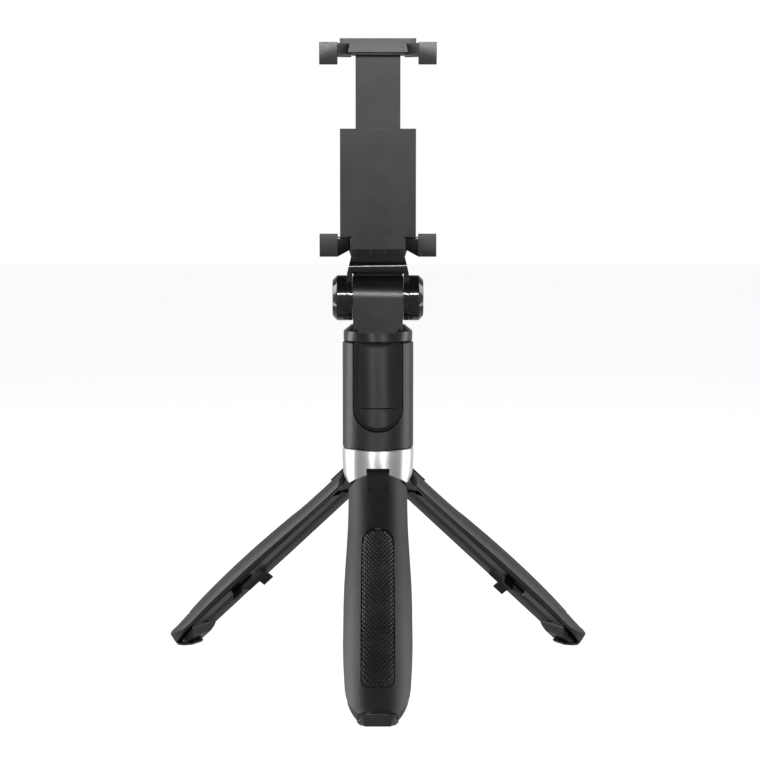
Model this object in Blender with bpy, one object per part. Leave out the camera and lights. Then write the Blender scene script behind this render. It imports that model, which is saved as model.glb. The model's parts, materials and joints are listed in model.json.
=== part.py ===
"""Selfie stick that opens into a table tripod: a phone clamp on a tilting neck, a head
with a removable remote control, a telescopic pole, and a handle made of three fold-out legs.

World axes: +Z up, the stick stands upright, the front is -Y. The origin is on the ground,
in the middle of the footprint. All sizes below are millimetres; MM turns them into metres.
"""
import math

import bpy
import numpy as np
from mathutils import Vector

MM = 0.001

# ---------------------------------------------------------------- driving dimensions
GAP = 0.35                  # between pieces that touch or slide on the real object
ROUND = 48                  # facets on a full turn of the large round pieces
SMALL_ROUND = 16            # facets on a full turn of pins, screws and bolts

# pole
POLE_RADIUS = 6.8           # outside of the fixed tube
TUBE_WALL = 0.5
TUBE_FLOOR = 4.4            # lowest point of the pole above the ground
TUBE_CLEAR = 0.35           # between one tube and the next
MOVING_TUBES = 4
BUSH_HEIGHT = 3.0

# legs, measured from the pivot down the folded leg
LEG_LENGTH = 114.0          # pivot to the lowest point of the foot, folded
LEG_OPEN = math.radians(49.0)
LEG_TOP_RADIUS = POLE_RADIUS + 6.5   # of the round handle that three folded legs make
LEG_SWELL = 1.5             # how much the handle swells towards its middle
LEG_TIP_DROP = 2.0          # how much it narrows again towards the tip
LEG_WALL = 2.2
LEG_INNER_PLANE = POLE_RADIUS - 0.4  # from the stick's axis to the flat inner side of a leg
LEG_SIDE_GAP = 0.2          # from a leg's edge to the plane between two legs
LINER_THICK = 2.2
GRIP_HALF_WIDTH = 6.0
GRIP_START = 29.0
GRIP_END = LEG_LENGTH - 12.0
GRIP_DEPTH = 1.0
GRIP_PROUD = 0.15
FOOT_TOP = LEG_LENGTH - 14.0         # where the end plug starts
FOOT_REACH = 2.2            # how near the feet come to the stick's axis when folded
FOOT_PAD = 1.5
HEEL_INSET = 4.1            # pivot to the outer edge of the foot's flat, sideways
CLIP_START = LEG_LENGTH - 50.0
CLIP_LENGTH = 12.0
CLIP_WALL = 1.0
CLIP_SLACK = 0.6            # between the pole and a clip that has snapped onto it
NECK_HALF_WIDTH = 4.1
PIN_RADIUS = 0.7
CHEEK_SEAT = 0.6            # how far a leg pin reaches into the cheeks beside the neck
CHEEK_WALL = 1.2

# hub and ring
RING_RADIUS = LEG_TOP_RADIUS + 0.6
RING_FOOT_RADIUS = LEG_TOP_RADIUS + 0.2
RING_WALL = 1.0
RING_HEIGHT = 13.7          # top edge to the tips of the lobes
SLOT_DEPTH = 7.0            # top edge to the ceiling of the slot over a leg's neck
PIVOT_DEPTH = 9.6           # top edge to the pivot axis
PIVOT_RADIUS = LEG_TOP_RADIUS - 2.3  # stick's axis to the pivot axis
HUB_CORE_RADIUS = POLE_RADIUS + 1.5
# the arch over a leg's shoulders: share of the handle's radius sideways, and depth below the pivot
ARCH = ((0.57, 1.4), (0.77, 2.8), (0.873, 4.1))
SHOULDER_GAP = 0.4

# head
SLEEVE_RADIUS = RING_RADIUS - 0.1
SLEEVE_HEIGHT = 41.0
SLEEVE_WALL = 1.8
WINDOW_HALF_WIDTH = SLEEVE_RADIUS - 4.0
WINDOW_FLOOR = 6.4          # sleeve's lower edge to the bottom of the window
REMOTE_HALF_WIDTH = WINDOW_HALF_WIDTH - 1.9
REMOTE_FACE_RADIUS = SLEEVE_RADIUS - 0.9
REMOTE_BACK = POLE_RADIUS + 1.2      # from the stick's axis to the remote's back
REMOTE_FLANGE = 2.0
REMOTE_WALL = 2.2
REMOTE_BACK_WALL = 0.9
REMOTE_FACE_WALL = 0.5      # where the room comes nearest to the curved face
CELL_THICK = 1.6
BOARD_THICK = 0.8
BUTTON_TRAVEL = 0.5
COLLAR_RADIUS = SLEEVE_RADIUS - 0.4
COLLAR_HEIGHT = 3.9
COLLAR_CHAMFER = 2.4

# tilt hinge
LUG_RADIUS = 8.6
AXIS_HEIGHT = LUG_RADIUS + 8.4       # sleeve's upper edge to the tilt axis
LUG_HALF_WIDTH = 9.6
CAP_RADIUS = LUG_RADIUS + 0.2
CAP_THICK = 5.3
CAP_CHAMFER = 1.8
CHEEK_THICK = 2.0
BOLT_RADIUS = 2.0
BOLT_HEAD = 3.5
BOLT_HEAD_DEPTH = 3.2

# phone clamp, heights above the tilt axis
CLAMP_HALF_WIDTH = 22.8
HOOK_WIDTH = 7.1
HOOK_FRONT = 3.5            # how far behind the stick's axis the front of the hooks is
LIP_THICK = 2.3
LIP_HEIGHT = 2.1            # lip of the lower jaw, above its plate
UPPER_LIP_HEIGHT = 4.3      # lip of the upper jaw, below its plate
REST_PLANE = 14.6           # stick's axis to the plane that the phone's back rests on
JAW_SEAT = LUG_RADIUS + 15.3         # tilt axis to the lower jaw's pads
JAW_PLATE = 4.3
HOOK_DROP = 2.6             # how far the hooks hang below the middle of the jaw
HOOK_SLANT = 0.45           # how far a hook's front falls back from its ridge
BACK_BAND = 3.7             # rest plane to the ends of the jaw's straight middle, sideways
OPENING = 69.6              # between the pads of the two jaws, as shown
PAD_THICK = 0.8
HOUSING_HALF_WIDTH = 15.0
HOUSING_BOTTOM = JAW_SEAT - 9.6
HOUSING_CORNER = 4.6        # height of the corners cut off beside the yoke
HOUSING_TOP = HOUSING_BOTTOM + 51.7
HOUSING_WALL = 1.3
CHANNEL_HALF_WIDTH = 9.2
SLIDER_THICK = 2.8
SLIDER_BOTTOM = HOUSING_BOTTOM + 17.7
COVER_THICK = 1.6
SPRING_RADIUS = 1.3
SPRING_WIRE = 0.35
SPRING_TURNS = 8
SPRING_PLACE = 5.0
YOKE_TOP_HALF = LUG_HALF_WIDTH + 0.2
YOKE_FOOT_HALF = LUG_HALF_WIDTH + 2.5
YOKE_RIB = 0.7
YOKE_FRONT = 6.4
SCREW_RADIUS = 0.9

# ---------------------------------------------------------------- sizes worked out
PIVOT_HEIGHT = LEG_LENGTH * math.cos(LEG_OPEN) + HEEL_INSET * math.sin(LEG_OPEN)
RING_TOP = PIVOT_HEIGHT + PIVOT_DEPTH
SLEEVE_BOTTOM = RING_TOP + GAP
SLEEVE_TOP = SLEEVE_BOTTOM + SLEEVE_HEIGHT
AXIS_Z = SLEEVE_TOP + AXIS_HEIGHT
GROUND_HEEL = PIVOT_RADIUS - HEEL_INSET    # radius of the outer edge of the foot's flat, folded
WINDOW_BOTTOM = SLEEVE_BOTTOM + WINDOW_FLOOR
WINDOW_CENTRE = WINDOW_BOTTOM + WINDOW_HALF_WIDTH
TUBE_TOP = SLEEVE_TOP - 4.0
SECTOR = math.radians(60.0)
CHANNEL_FRONT = REST_PLANE + HOUSING_WALL
HOUSING_BACK = CHANNEL_FRONT + SLIDER_THICK + 2 * GAP


def smooth_step(value, low, high):
    """0 below low, 1 above high, an S-shaped curve between."""
    share = min(max((value - low) / (high - low), 0.0), 1.0)
    return share * share * (3 - 2 * share)


def handle_radius(down):
    """Outer radius of the folded handle, at a distance below the pivots."""
    share = down / LEG_LENGTH
    return (LEG_TOP_RADIUS + LEG_SWELL * smooth_step(share, 0.13, 0.54)
            - LEG_TIP_DROP * smooth_step(share, 0.68, 1.05))


def nose_half_width(down):
    """Half the width of a leg near its rounded tip."""
    full = handle_radius(down) * math.sin(SECTOR) - LEG_SIDE_GAP
    start = 0.86 * LEG_LENGTH
    if down <= start:
        return full
    share = min((down - start) / (LEG_LENGTH + 1.5 - start), 1.0)
    return full * math.sqrt(max(1 - share * share, 0.02))


def sector_half_width(radial):
    """Half the width of a leg's third of the handle, at a distance from the stick's axis."""
    return radial * math.tan(SECTOR) - LEG_SIDE_GAP / math.cos(SECTOR)


# ---------------------------------------------------------------- scene helpers
for leftover in list(bpy.data.objects):
    bpy.data.objects.remove(leftover, do_unlink=True)

ROOT = bpy.data.objects.new("stick_origin", None)
bpy.context.collection.objects.link(ROOT)


def material(name, colour, roughness, metallic=0.0, coat=0.0):
    """A Principled material for one sub-part."""
    made = bpy.data.materials.new(name)
    made.use_nodes = True
    shader = made.node_tree.nodes["Principled BSDF"]
    shader.inputs["Base Color"].default_value = (*colour, 1.0)
    shader.inputs["Roughness"].default_value = roughness
    shader.inputs["Metallic"].default_value = metallic
    shader.inputs["Coat Weight"].default_value = coat
    made.diffuse_color = (*colour, 1.0)
    return made


def soft_touch(name):
    return material(name, (0.045, 0.044, 0.047), 0.55)


def gloss_black(name):
    return material(name, (0.008, 0.008, 0.009), 0.18, coat=0.4)


def black_plastic(name):
    return material(name, (0.018, 0.018, 0.020), 0.42)


def rubber(name):
    return material(name, (0.012, 0.012, 0.012), 0.8)


def steel(name):
    return material(name, (0.55, 0.55, 0.56), 0.28, metallic=1.0)


def empty(name, place=(0, 0, 0), turn=(0, 0, 0), parent=None):
    """An empty at a place in millimetres: the frame, or the joint axis, of what it carries."""
    made = bpy.data.objects.new(name, None)
    made.location = Vector(place) * MM
    made.rotation_euler = turn
    made.parent = parent or ROOT
    made.empty_display_size = 0.01
    bpy.context.collection.objects.link(made)
    return made


def solid(name, points, faces, look, parent=None, smooth=True):
    """One named object from points in millimetres in its parent's frame."""
    mesh = bpy.data.meshes.new(name)
    mesh.from_pydata([Vector(p) * MM for p in points], [], faces)
    mesh.update()
    if smooth:
        mesh.shade_smooth()
        mesh.set_sharp_from_angle(angle=math.radians(35))
    made = bpy.data.objects.new(name, mesh)
    made.parent = parent or ROOT
    if look:
        mesh.materials.append(look)
    bpy.context.collection.objects.link(made)
    return made


def area(outline):
    """Signed area of a flat outline; counter-clockwise is positive."""
    turned = outline[1:] + outline[:1]
    return sum(a[0] * b[1] - b[0] * a[1] for a, b in zip(outline, turned)) / 2


PLANES = {
    "X": lambda u, v, w: (w, u, v),      # outline in Y, Z, extruded along X
    "Y": lambda u, v, w: (v, w, u),      # outline in Z, X, extruded along Y
    "Z": lambda u, v, w: (u, v, w),      # outline in X, Y, extruded along Z
}


def prism_mesh(outline, axis, low, high):
    """Points and faces of an outline extruded along X, Y or Z."""
    if area(outline) < 0:
        outline = outline[::-1]
    count = len(outline)
    put = PLANES[axis]
    points = [put(u, v, low) for u, v in outline] + [put(u, v, high) for u, v in outline]
    faces = [tuple(range(count))[::-1], tuple(range(count, 2 * count))]
    for i in range(count):
        j = (i + 1) % count
        faces.append((i, j, count + j, count + i))
    return points, faces


def prism(name, outline, axis, low, high, look=None, parent=None):
    return solid(name, *prism_mesh(outline, axis, low, high), look, parent)


def box(name, low, high, look=None, parent=None):
    corners = [(low[0], low[1]), (high[0], low[1]), (high[0], high[1]), (low[0], high[1])]
    return prism(name, corners, "Z", low[2], high[2], look, parent)


def turned(name, profile, look=None, parent=None, facets=ROUND, axis="Z"):
    """A closed (radius, height) profile turned about an axis of its parent's frame."""
    if area(profile) < 0:
        profile = profile[::-1]
    put = {"Z": lambda x, y, z: (x, y, z), "X": lambda x, y, z: (z, x, y)}[axis]
    rings, points, faces = [], [], []
    for radius, height in profile:
        if radius <= 0:
            rings.append([len(points)] * facets)
            points.append(put(0, 0, height))
            continue
        start = len(points)
        rings.append(list(range(start, start + facets)))
        for k in range(facets):
            angle = 2 * math.pi * k / facets
            points.append(put(radius * math.cos(angle), radius * math.sin(angle), height))
    for a, b in zip(rings, rings[1:] + rings[:1]):
        for k in range(facets):
            m = (k + 1) % facets
            face = list(dict.fromkeys((a[k], a[m], b[m], b[k])))
            if len(face) > 2:
                faces.append(tuple(face))
    return solid(name, points, faces, look, parent)


def rod(name, radius, low, high, look=None, parent=None, facets=SMALL_ROUND, axis="Z"):
    """A plain round bar along an axis."""
    profile = [(0, low), (radius, low), (radius, high), (0, high)]
    return turned(name, profile, look, parent, facets, axis)


def loft(name, sections, look=None, parent=None):
    """A closed body through sections that all have the same number of points."""
    count = len(sections[0])
    points = [p for section in sections for p in section]
    last = (len(sections) - 1) * count
    faces = [tuple(range(count))[::-1], tuple(range(last, last + count))]
    for s in range(len(sections) - 1):
        for i in range(count):
            j = (i + 1) % count
            a, b = s * count, (s + 1) * count
            faces.append((a + i, a + j, b + j, b + i))
    made = solid(name, points, faces, look, parent)
    if volume(made.data) < 0:
        made.data.flip_normals()
    return made


def volume(mesh):
    """Signed volume of a closed mesh; it is positive when the faces point outwards."""
    mesh.calc_loop_triangles()
    total = 0.0
    for triangle in mesh.loop_triangles:
        a, b, c = (mesh.vertices[i].co for i in triangle.vertices)
        total += a.dot(b.cross(c))
    return total / 6


def combine(made, tool, operation="DIFFERENCE"):
    """Cut made with tool, or join tool to it; the tool stays as a hidden guide."""
    modifier = made.modifiers.new(operation.lower(), "BOOLEAN")
    modifier.operation = operation
    modifier.object = tool
    tool.hide_render = True
    tool.display_type = "WIRE"


def cut(made, *tools):
    for tool in tools:
        combine(made, tool)


def join(made, *tools):
    for tool in tools:
        combine(made, tool, "UNION")


def arc(centre, radius, start, end, steps):
    """Points on an arc, with angles in degrees."""
    angles = np.radians(np.linspace(start, end, steps + 1))
    return [(centre[0] + radius * math.cos(a), centre[1] + radius * math.sin(a)) for a in angles]


def mirrored(outline):
    """An outline's right half, closed with its mirror image on the left."""
    return outline + [(-x, y) for x, y in reversed(outline)]


# ---------------------------------------------------------------- hub and ring
HUB = empty("hub_frame")
AZIMUTH = {"front": 0.0, "right": math.radians(120), "left": math.radians(-120)}


def arch_cutter(turn):
    """The slot over a leg's neck and the sloping arch over its shoulders."""
    side = NECK_HALF_WIDTH + GAP
    half = [(side, RING_TOP - SLOT_DEPTH), (side, PIVOT_HEIGHT - 0.5)]
    half += [(share * LEG_TOP_RADIUS, PIVOT_HEIGHT - depth) for share, depth in ARCH]
    half.append((0.92 * LEG_TOP_RADIUS, PIVOT_HEIGHT - 10))
    outline = [(z, x) for x, z in mirrored(half)]
    holder = empty("arch_frame", turn=(0, 0, turn), parent=HUB)
    return prism("arch_cutter", outline, "Y", -2 * RING_RADIUS, -0.4 * RING_RADIUS,
                 parent=holder)


def make_hub():
    top, bottom = RING_TOP, RING_TOP - RING_HEIGHT
    inner = RING_RADIUS - RING_WALL
    ring = turned("hub_ring", [
        (inner, top - 0.3), (RING_RADIUS - 0.4, top), (RING_RADIUS, top - 0.4),
        (RING_RADIUS, top - 4), (RING_FOOT_RADIUS + 0.1, top - 9.5),
        (RING_FOOT_RADIUS - 0.6, bottom), (inner - 0.7, bottom), (inner - 0.2, top - 9.5)],
        material("ring_metal", (0.82, 0.82, 0.83), 0.22, metallic=1.0), HUB, 2 * ROUND)
    core_radius = inner - GAP
    bore = POLE_RADIUS + GAP
    ceiling = top - SLOT_DEPTH
    core = turned("hub_core", [
        (bore, top - 0.5), (core_radius, top - 0.5), (core_radius, ceiling + 0.7),
        (HUB_CORE_RADIUS, ceiling + 0.7), (HUB_CORE_RADIUS, bottom - 1.5),
        (HUB_CORE_RADIUS - 0.6, bottom - 2.1), (bore, bottom - 2.1)],
        black_plastic("hub_core_plastic"), HUB)
    for name, turn in AZIMUTH.items():
        cut(ring, arch_cutter(turn))
        holder = empty(f"cheek_frame_{name}", turn=(0, 0, turn), parent=HUB)
        inside = NECK_HALF_WIDTH + GAP
        low = PIVOT_HEIGHT - 1.0
        for side in (-1, 1):
            near, far = sorted((side * inside, side * (inside + CHEEK_WALL)))
            outer = math.sqrt(core_radius ** 2 - (inside + CHEEK_WALL) ** 2) - 0.15
            join(core, box("cheek_tool", (near, -outer, low), (far, -bore - 0.3, ceiling + 2), None,
                           holder))
    for name, turn in AZIMUTH.items():
        axis = empty(f"pin_axis_{name}", parent=empty(f"pin_frame_{name}", turn=(0, 0, turn),
                                                      parent=HUB),
                     place=(0, -PIVOT_RADIUS, PIVOT_HEIGHT))
        reach = NECK_HALF_WIDTH + GAP + CHEEK_SEAT
        rod(f"leg_pin_{name}", PIN_RADIUS, -reach, reach, steel(f"leg_pin_steel_{name}"), axis,
            axis="X")
        bore = rod("pin_bore_tool", PIN_RADIUS + GAP, -reach - GAP, reach + GAP, None, axis,
                   axis="X")
        cut(core, bore)
        cut(ring, bore)


# ---------------------------------------------------------------- legs
def from_axis(across, radial, down):
    """A leg's own frame has its origin on the pivot; radial is from the stick's axis."""
    return (across, PIVOT_RADIUS - radial, -down)


def shell_section(down):
    """Cross-section of the soft-touch shell: a round back with short flat edges."""
    radius = handle_radius(down)
    width = nose_half_width(down)
    inner = radius - LEG_WALL
    corner_radial = max(LEG_INNER_PLANE, (inner + 0.15) * math.cos(SECTOR) + 0.1)
    outer_end = min(math.asin(width / radius), math.acos((corner_radial + 0.1) / radius))
    corner_across = min(width, sector_half_width(corner_radial))
    narrow = outer_end / (SECTOR - LEG_SIDE_GAP / radius)
    inner_end = math.acos(min(corner_radial / inner, 1)) * narrow - 0.01
    steps = 14
    section = [(radius * math.sin(a), radius * math.cos(a))
               for a in np.linspace(-outer_end, outer_end, steps + 1)]
    section.append((corner_across, corner_radial))
    section += [(inner * math.sin(a), inner * math.cos(a))
                for a in np.linspace(inner_end, -inner_end, steps + 1)]
    section.append((-corner_across, corner_radial))
    return [from_axis(x, r, down) for x, r in section]


def grip_patch(name, grow, lift, depth, look=None, parent=None):
    """A pad with round ends that follows the leg's back, grown sideways by grow."""
    half = GRIP_HALF_WIDTH + grow
    start, end = GRIP_START - grow, GRIP_END + grow
    ends = [1 - math.cos(a) for a in np.linspace(0.35, math.pi / 2, 4)]
    downs = [start + half * e for e in ends]
    middle = [d for d in np.linspace(start + half, end - half * 0.6, 7)][1:-1]
    downs += middle + [end - half * 0.6 * e for e in reversed(ends)]
    sections = []
    for down in downs:
        near_start = min((down - start) / half, 1.0)
        near_end = min((end - down) / (half * 0.6), 1.0)
        share = min(near_start, near_end)
        width = half * math.sqrt(1 - (1 - share) ** 2)
        outer = handle_radius(down) + lift
        inner = handle_radius(down) - depth
        angles = np.linspace(-1, 1, 7)
        section = []
        for radius, order in ((outer, angles), (inner, angles[::-1])):
            turn = width / radius
            section += [(radius * math.sin(turn * a), radius * math.cos(turn * a)) for a in order]
        sections.append([from_axis(x, r, down) for x, r in section])
    return loft(name, sections, look, parent)


def foot_line(radial):
    """How far below the pivot the underside of a folded foot is."""
    if radial >= GROUND_HEEL:
        return LEG_LENGTH - 0.15 * (radial - GROUND_HEEL)
    return LEG_LENGTH - (GROUND_HEEL - radial) * math.tan(LEG_OPEN)


def foot_body(name, start, end, top, bottom, inset, look, parent):
    """A block between two curves, inside a leg's third of the handle."""
    sections = []
    for radial in [*np.linspace(start, GROUND_HEEL, 4)[:-1], *np.linspace(GROUND_HEEL, end, 5)]:
        high, low = top(radial), bottom(radial)
        section = []
        for down, side in ((high, -1), (high, 1), (low, 1), (low, -1)):
            limit = nose_half_width(down) - inset
            round_limit = math.sqrt(max((end + 0.25) ** 2 - radial ** 2, 0.25))
            across = min(sector_half_width(radial), limit, max(round_limit, 1.0))
            section.append(from_axis(side * max(across, 0.6), radial, down))
        sections.append(section)
    return loft(name, sections, look, parent)


def make_leg(name, turn):
    """One leg: its frame turns about the pivot axis, and 0 is the folded leg."""
    holder = empty(f"leg_frame_{name}", turn=(0, 0, turn))
    pivot = empty(f"leg_pivot_{name}", (0, -PIVOT_RADIUS, PIVOT_HEIGHT), (-LEG_OPEN, 0, 0),
                  holder)
    tip = LEG_LENGTH - 1.0
    downs = [1.0, 6.0, *np.linspace(14, 0.86 * LEG_LENGTH, 10)]
    downs += [*np.linspace(0.89 * LEG_LENGTH, tip - FOOT_PAD, 5)]
    shell = loft(f"leg_shell_{name}", [shell_section(d) for d in downs],
                 soft_touch(f"leg_shell_skin_{name}"), pivot)
    flush = PIVOT_RADIUS - LEG_TOP_RADIUS + 0.05    # neck level with the handle's outside
    neck = [(flush, -9), (flush, -0.5), (-1.6, 1.3), (-0.7, 2.1), (1.3, 2.0), (1.9, 1.0),
            (2.2, -2.0), (2.2, -6.4), (3.5, -9)]
    join(shell, prism("neck_tool", neck, "X", -NECK_HALF_WIDTH, NECK_HALF_WIDTH, None, pivot))
    for side in (-1, 1):
        inside = NECK_HALF_WIDTH + 0.02
        shoulder = [(side * inside, 6), (side * inside, -1.75)]
        shoulder += [(side * share * LEG_TOP_RADIUS, -depth - SHOULDER_GAP)
                     for share, depth in ARCH]
        shoulder += [(side * 1.5 * LEG_TOP_RADIUS, -7), (side * 1.5 * LEG_TOP_RADIUS, 6)]
        tool = [(z, x) for x, z in shoulder]
        cut(shell, prism("shoulder_tool", tool, "Y", -6, 16, None, pivot))
    cut(shell, rod("hinge_bore_tool", PIN_RADIUS + GAP, -8, 8, None, pivot, axis="X"))
    cut(shell, grip_patch("grip_recess_tool", GAP, 4, GRIP_DEPTH + GAP, None, pivot))
    grip_patch(f"leg_grip_{name}", 0, GRIP_PROUD, GRIP_DEPTH, rubber(f"leg_grip_rubber_{name}"),
               pivot)
    make_liner(name, pivot)
    outer = handle_radius(tip) - LEG_WALL - GAP - 0.1

    def plug_top(radial):
        return FOOT_TOP + 5.0 * (1 - smooth_step(radial, FOOT_REACH, LEG_INNER_PLANE))

    def plug_bottom(radial):
        return foot_line(radial) - FOOT_PAD - GAP

    foot_body(f"leg_foot_{name}", FOOT_REACH + 1.6, outer, plug_top, plug_bottom,
              LEG_WALL + GAP, black_plastic(f"leg_foot_plastic_{name}"), pivot)
    foot_body(f"foot_pad_{name}", FOOT_REACH, handle_radius(tip), lambda r: foot_line(r) - FOOT_PAD,
              foot_line, 0, rubber(f"foot_pad_rubber_{name}"), pivot)
    make_clip(name, pivot)


def make_liner(name, pivot):
    """The flat inner side of a leg, with a shallow groove for the pole."""
    groove = POLE_RADIUS + GAP
    half_angle = math.acos(min(LEG_INNER_PLANE / groove, 0.999))
    sections = []
    for down in np.linspace(10, FOOT_TOP - GAP, 8):
        room = handle_radius(down) - LEG_WALL - GAP - 0.1
        back = LEG_INNER_PLANE + LINER_THICK
        edge = min(math.sqrt(max(room ** 2 - LEG_INNER_PLANE ** 2, 4.0)),
                   nose_half_width(down) - LEG_WALL, sector_half_width(LEG_INNER_PLANE) - 0.9)
        edge_back = min(math.sqrt(max(room ** 2 - back ** 2, 1.0)), edge)
        section = [(-edge, LEG_INNER_PLANE)]
        section += [(groove * math.sin(a), groove * math.cos(a))
                    for a in np.linspace(-half_angle, half_angle, 5)]
        section += [(edge, LEG_INNER_PLANE), (edge_back, back), (-edge_back, back)]
        sections.append([from_axis(x, r, down) for x, r in section])
    liner = loft(f"leg_liner_{name}", sections, gloss_black(f"leg_liner_gloss_{name}"), pivot)
    outer = POLE_RADIUS + CLIP_SLACK + CLIP_WALL
    window = math.sqrt(outer ** 2 - LEG_INNER_PLANE ** 2) + 2 * GAP
    low = -CLIP_START - CLIP_LENGTH - GAP
    cut(liner, box("clip_window_tool", (-window, PIVOT_RADIUS - 20, low),
                   (window, PIVOT_RADIUS, -CLIP_START + GAP), None, pivot))


def make_clip(name, pivot):
    """The snap clip: a spring C that grips the pole, its two fingers one above the other."""
    inner = POLE_RADIUS + CLIP_SLACK
    outer = inner + CLIP_WALL

    def strip(start, end, low, high, label, look=None):
        angles = np.radians(np.linspace(start, end, max(int(abs(end - start) / 9), 2) + 1))
        outline = [(outer * math.sin(a), outer * math.cos(a)) for a in angles]
        outline += [(inner * math.sin(a), inner * math.cos(a)) for a in angles[::-1]]
        outline = [(x, PIVOT_RADIUS - r) for x, r in outline]
        return prism(label, outline, "Z", -high, -low, look, pivot)

    middle = CLIP_START + CLIP_LENGTH / 2
    clip = strip(-48, 48, CLIP_START, CLIP_START + CLIP_LENGTH, f"leg_clip_{name}",
                 black_plastic(f"leg_clip_plastic_{name}"))
    join(clip, strip(-68, -44, CLIP_START + 0.01, middle - 0.6, "clip_finger_tool"),
         strip(44, 68, middle + 0.6, CLIP_START + CLIP_LENGTH - 0.01, "clip_finger_tool"))


# ---------------------------------------------------------------- pole
def make_pole():
    """The fixed tube, and the moving tubes that carry one another and the head."""
    top = RING_TOP - 0.6
    inside = POLE_RADIUS - TUBE_WALL
    foot = TUBE_FLOOR + 1.6                 # the plug's rim is below the tube
    turned("outer_tube", [(inside, foot), (POLE_RADIUS, foot), (POLE_RADIUS, top), (inside, top)],
           steel("outer_tube_steel"), HUB, ROUND)
    plug_radius = inside - TUBE_CLEAR
    plug_top = TUBE_FLOOR + 3.4
    turned("tube_plug", [(0, TUBE_FLOOR), (POLE_RADIUS - 0.6, TUBE_FLOOR),
                         (POLE_RADIUS, TUBE_FLOOR + 0.6), (POLE_RADIUS, foot - GAP),
                         (plug_radius, foot - GAP), (plug_radius, plug_top), (0, plug_top)],
           black_plastic("tube_plug_plastic"), HUB, ROUND)
    bush_low = plug_top + GAP
    tube_low = bush_low + BUSH_HEIGHT + GAP
    radius = POLE_RADIUS
    frame = HUB
    for number in range(2, 2 + MOVING_TUBES):
        radius -= TUBE_WALL + TUBE_CLEAR
        last = number == 1 + MOVING_TUBES
        frame = empty("head_frame" if last else f"tube_{number}_frame", parent=frame)
        inner = radius - TUBE_WALL
        high = SLEEVE_TOP - GAP - 1.0 if last else TUBE_TOP
        turned(f"tube_{number}", [(inner, tube_low), (radius, tube_low), (radius, high),
                                  (inner, high)],
               steel(f"tube_{number}_steel"), frame, 24)
        turned(f"guide_bush_{number}", [(inner, bush_low), (radius, bush_low),
                                        (radius, bush_low + BUSH_HEIGHT),
                                        (inner, bush_low + BUSH_HEIGHT)],
               material(f"guide_bush_nylon_{number}", (0.6, 0.6, 0.58), 0.5), frame, 24)
    return frame, radius


# ---------------------------------------------------------------- head and remote
def u_outline(half, high):
    """The window's outline in X and Z: straight sides and a round bottom."""
    return arc((0, WINDOW_CENTRE), half, 180, 360, 28) + [(half, high), (-half, high)]


def u_prism(name, half, high, front, back, look=None, parent=None):
    outline = [(z, x) for x, z in u_outline(half, high)]
    return prism(name, outline, "Y", front, back, look, parent)


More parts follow.
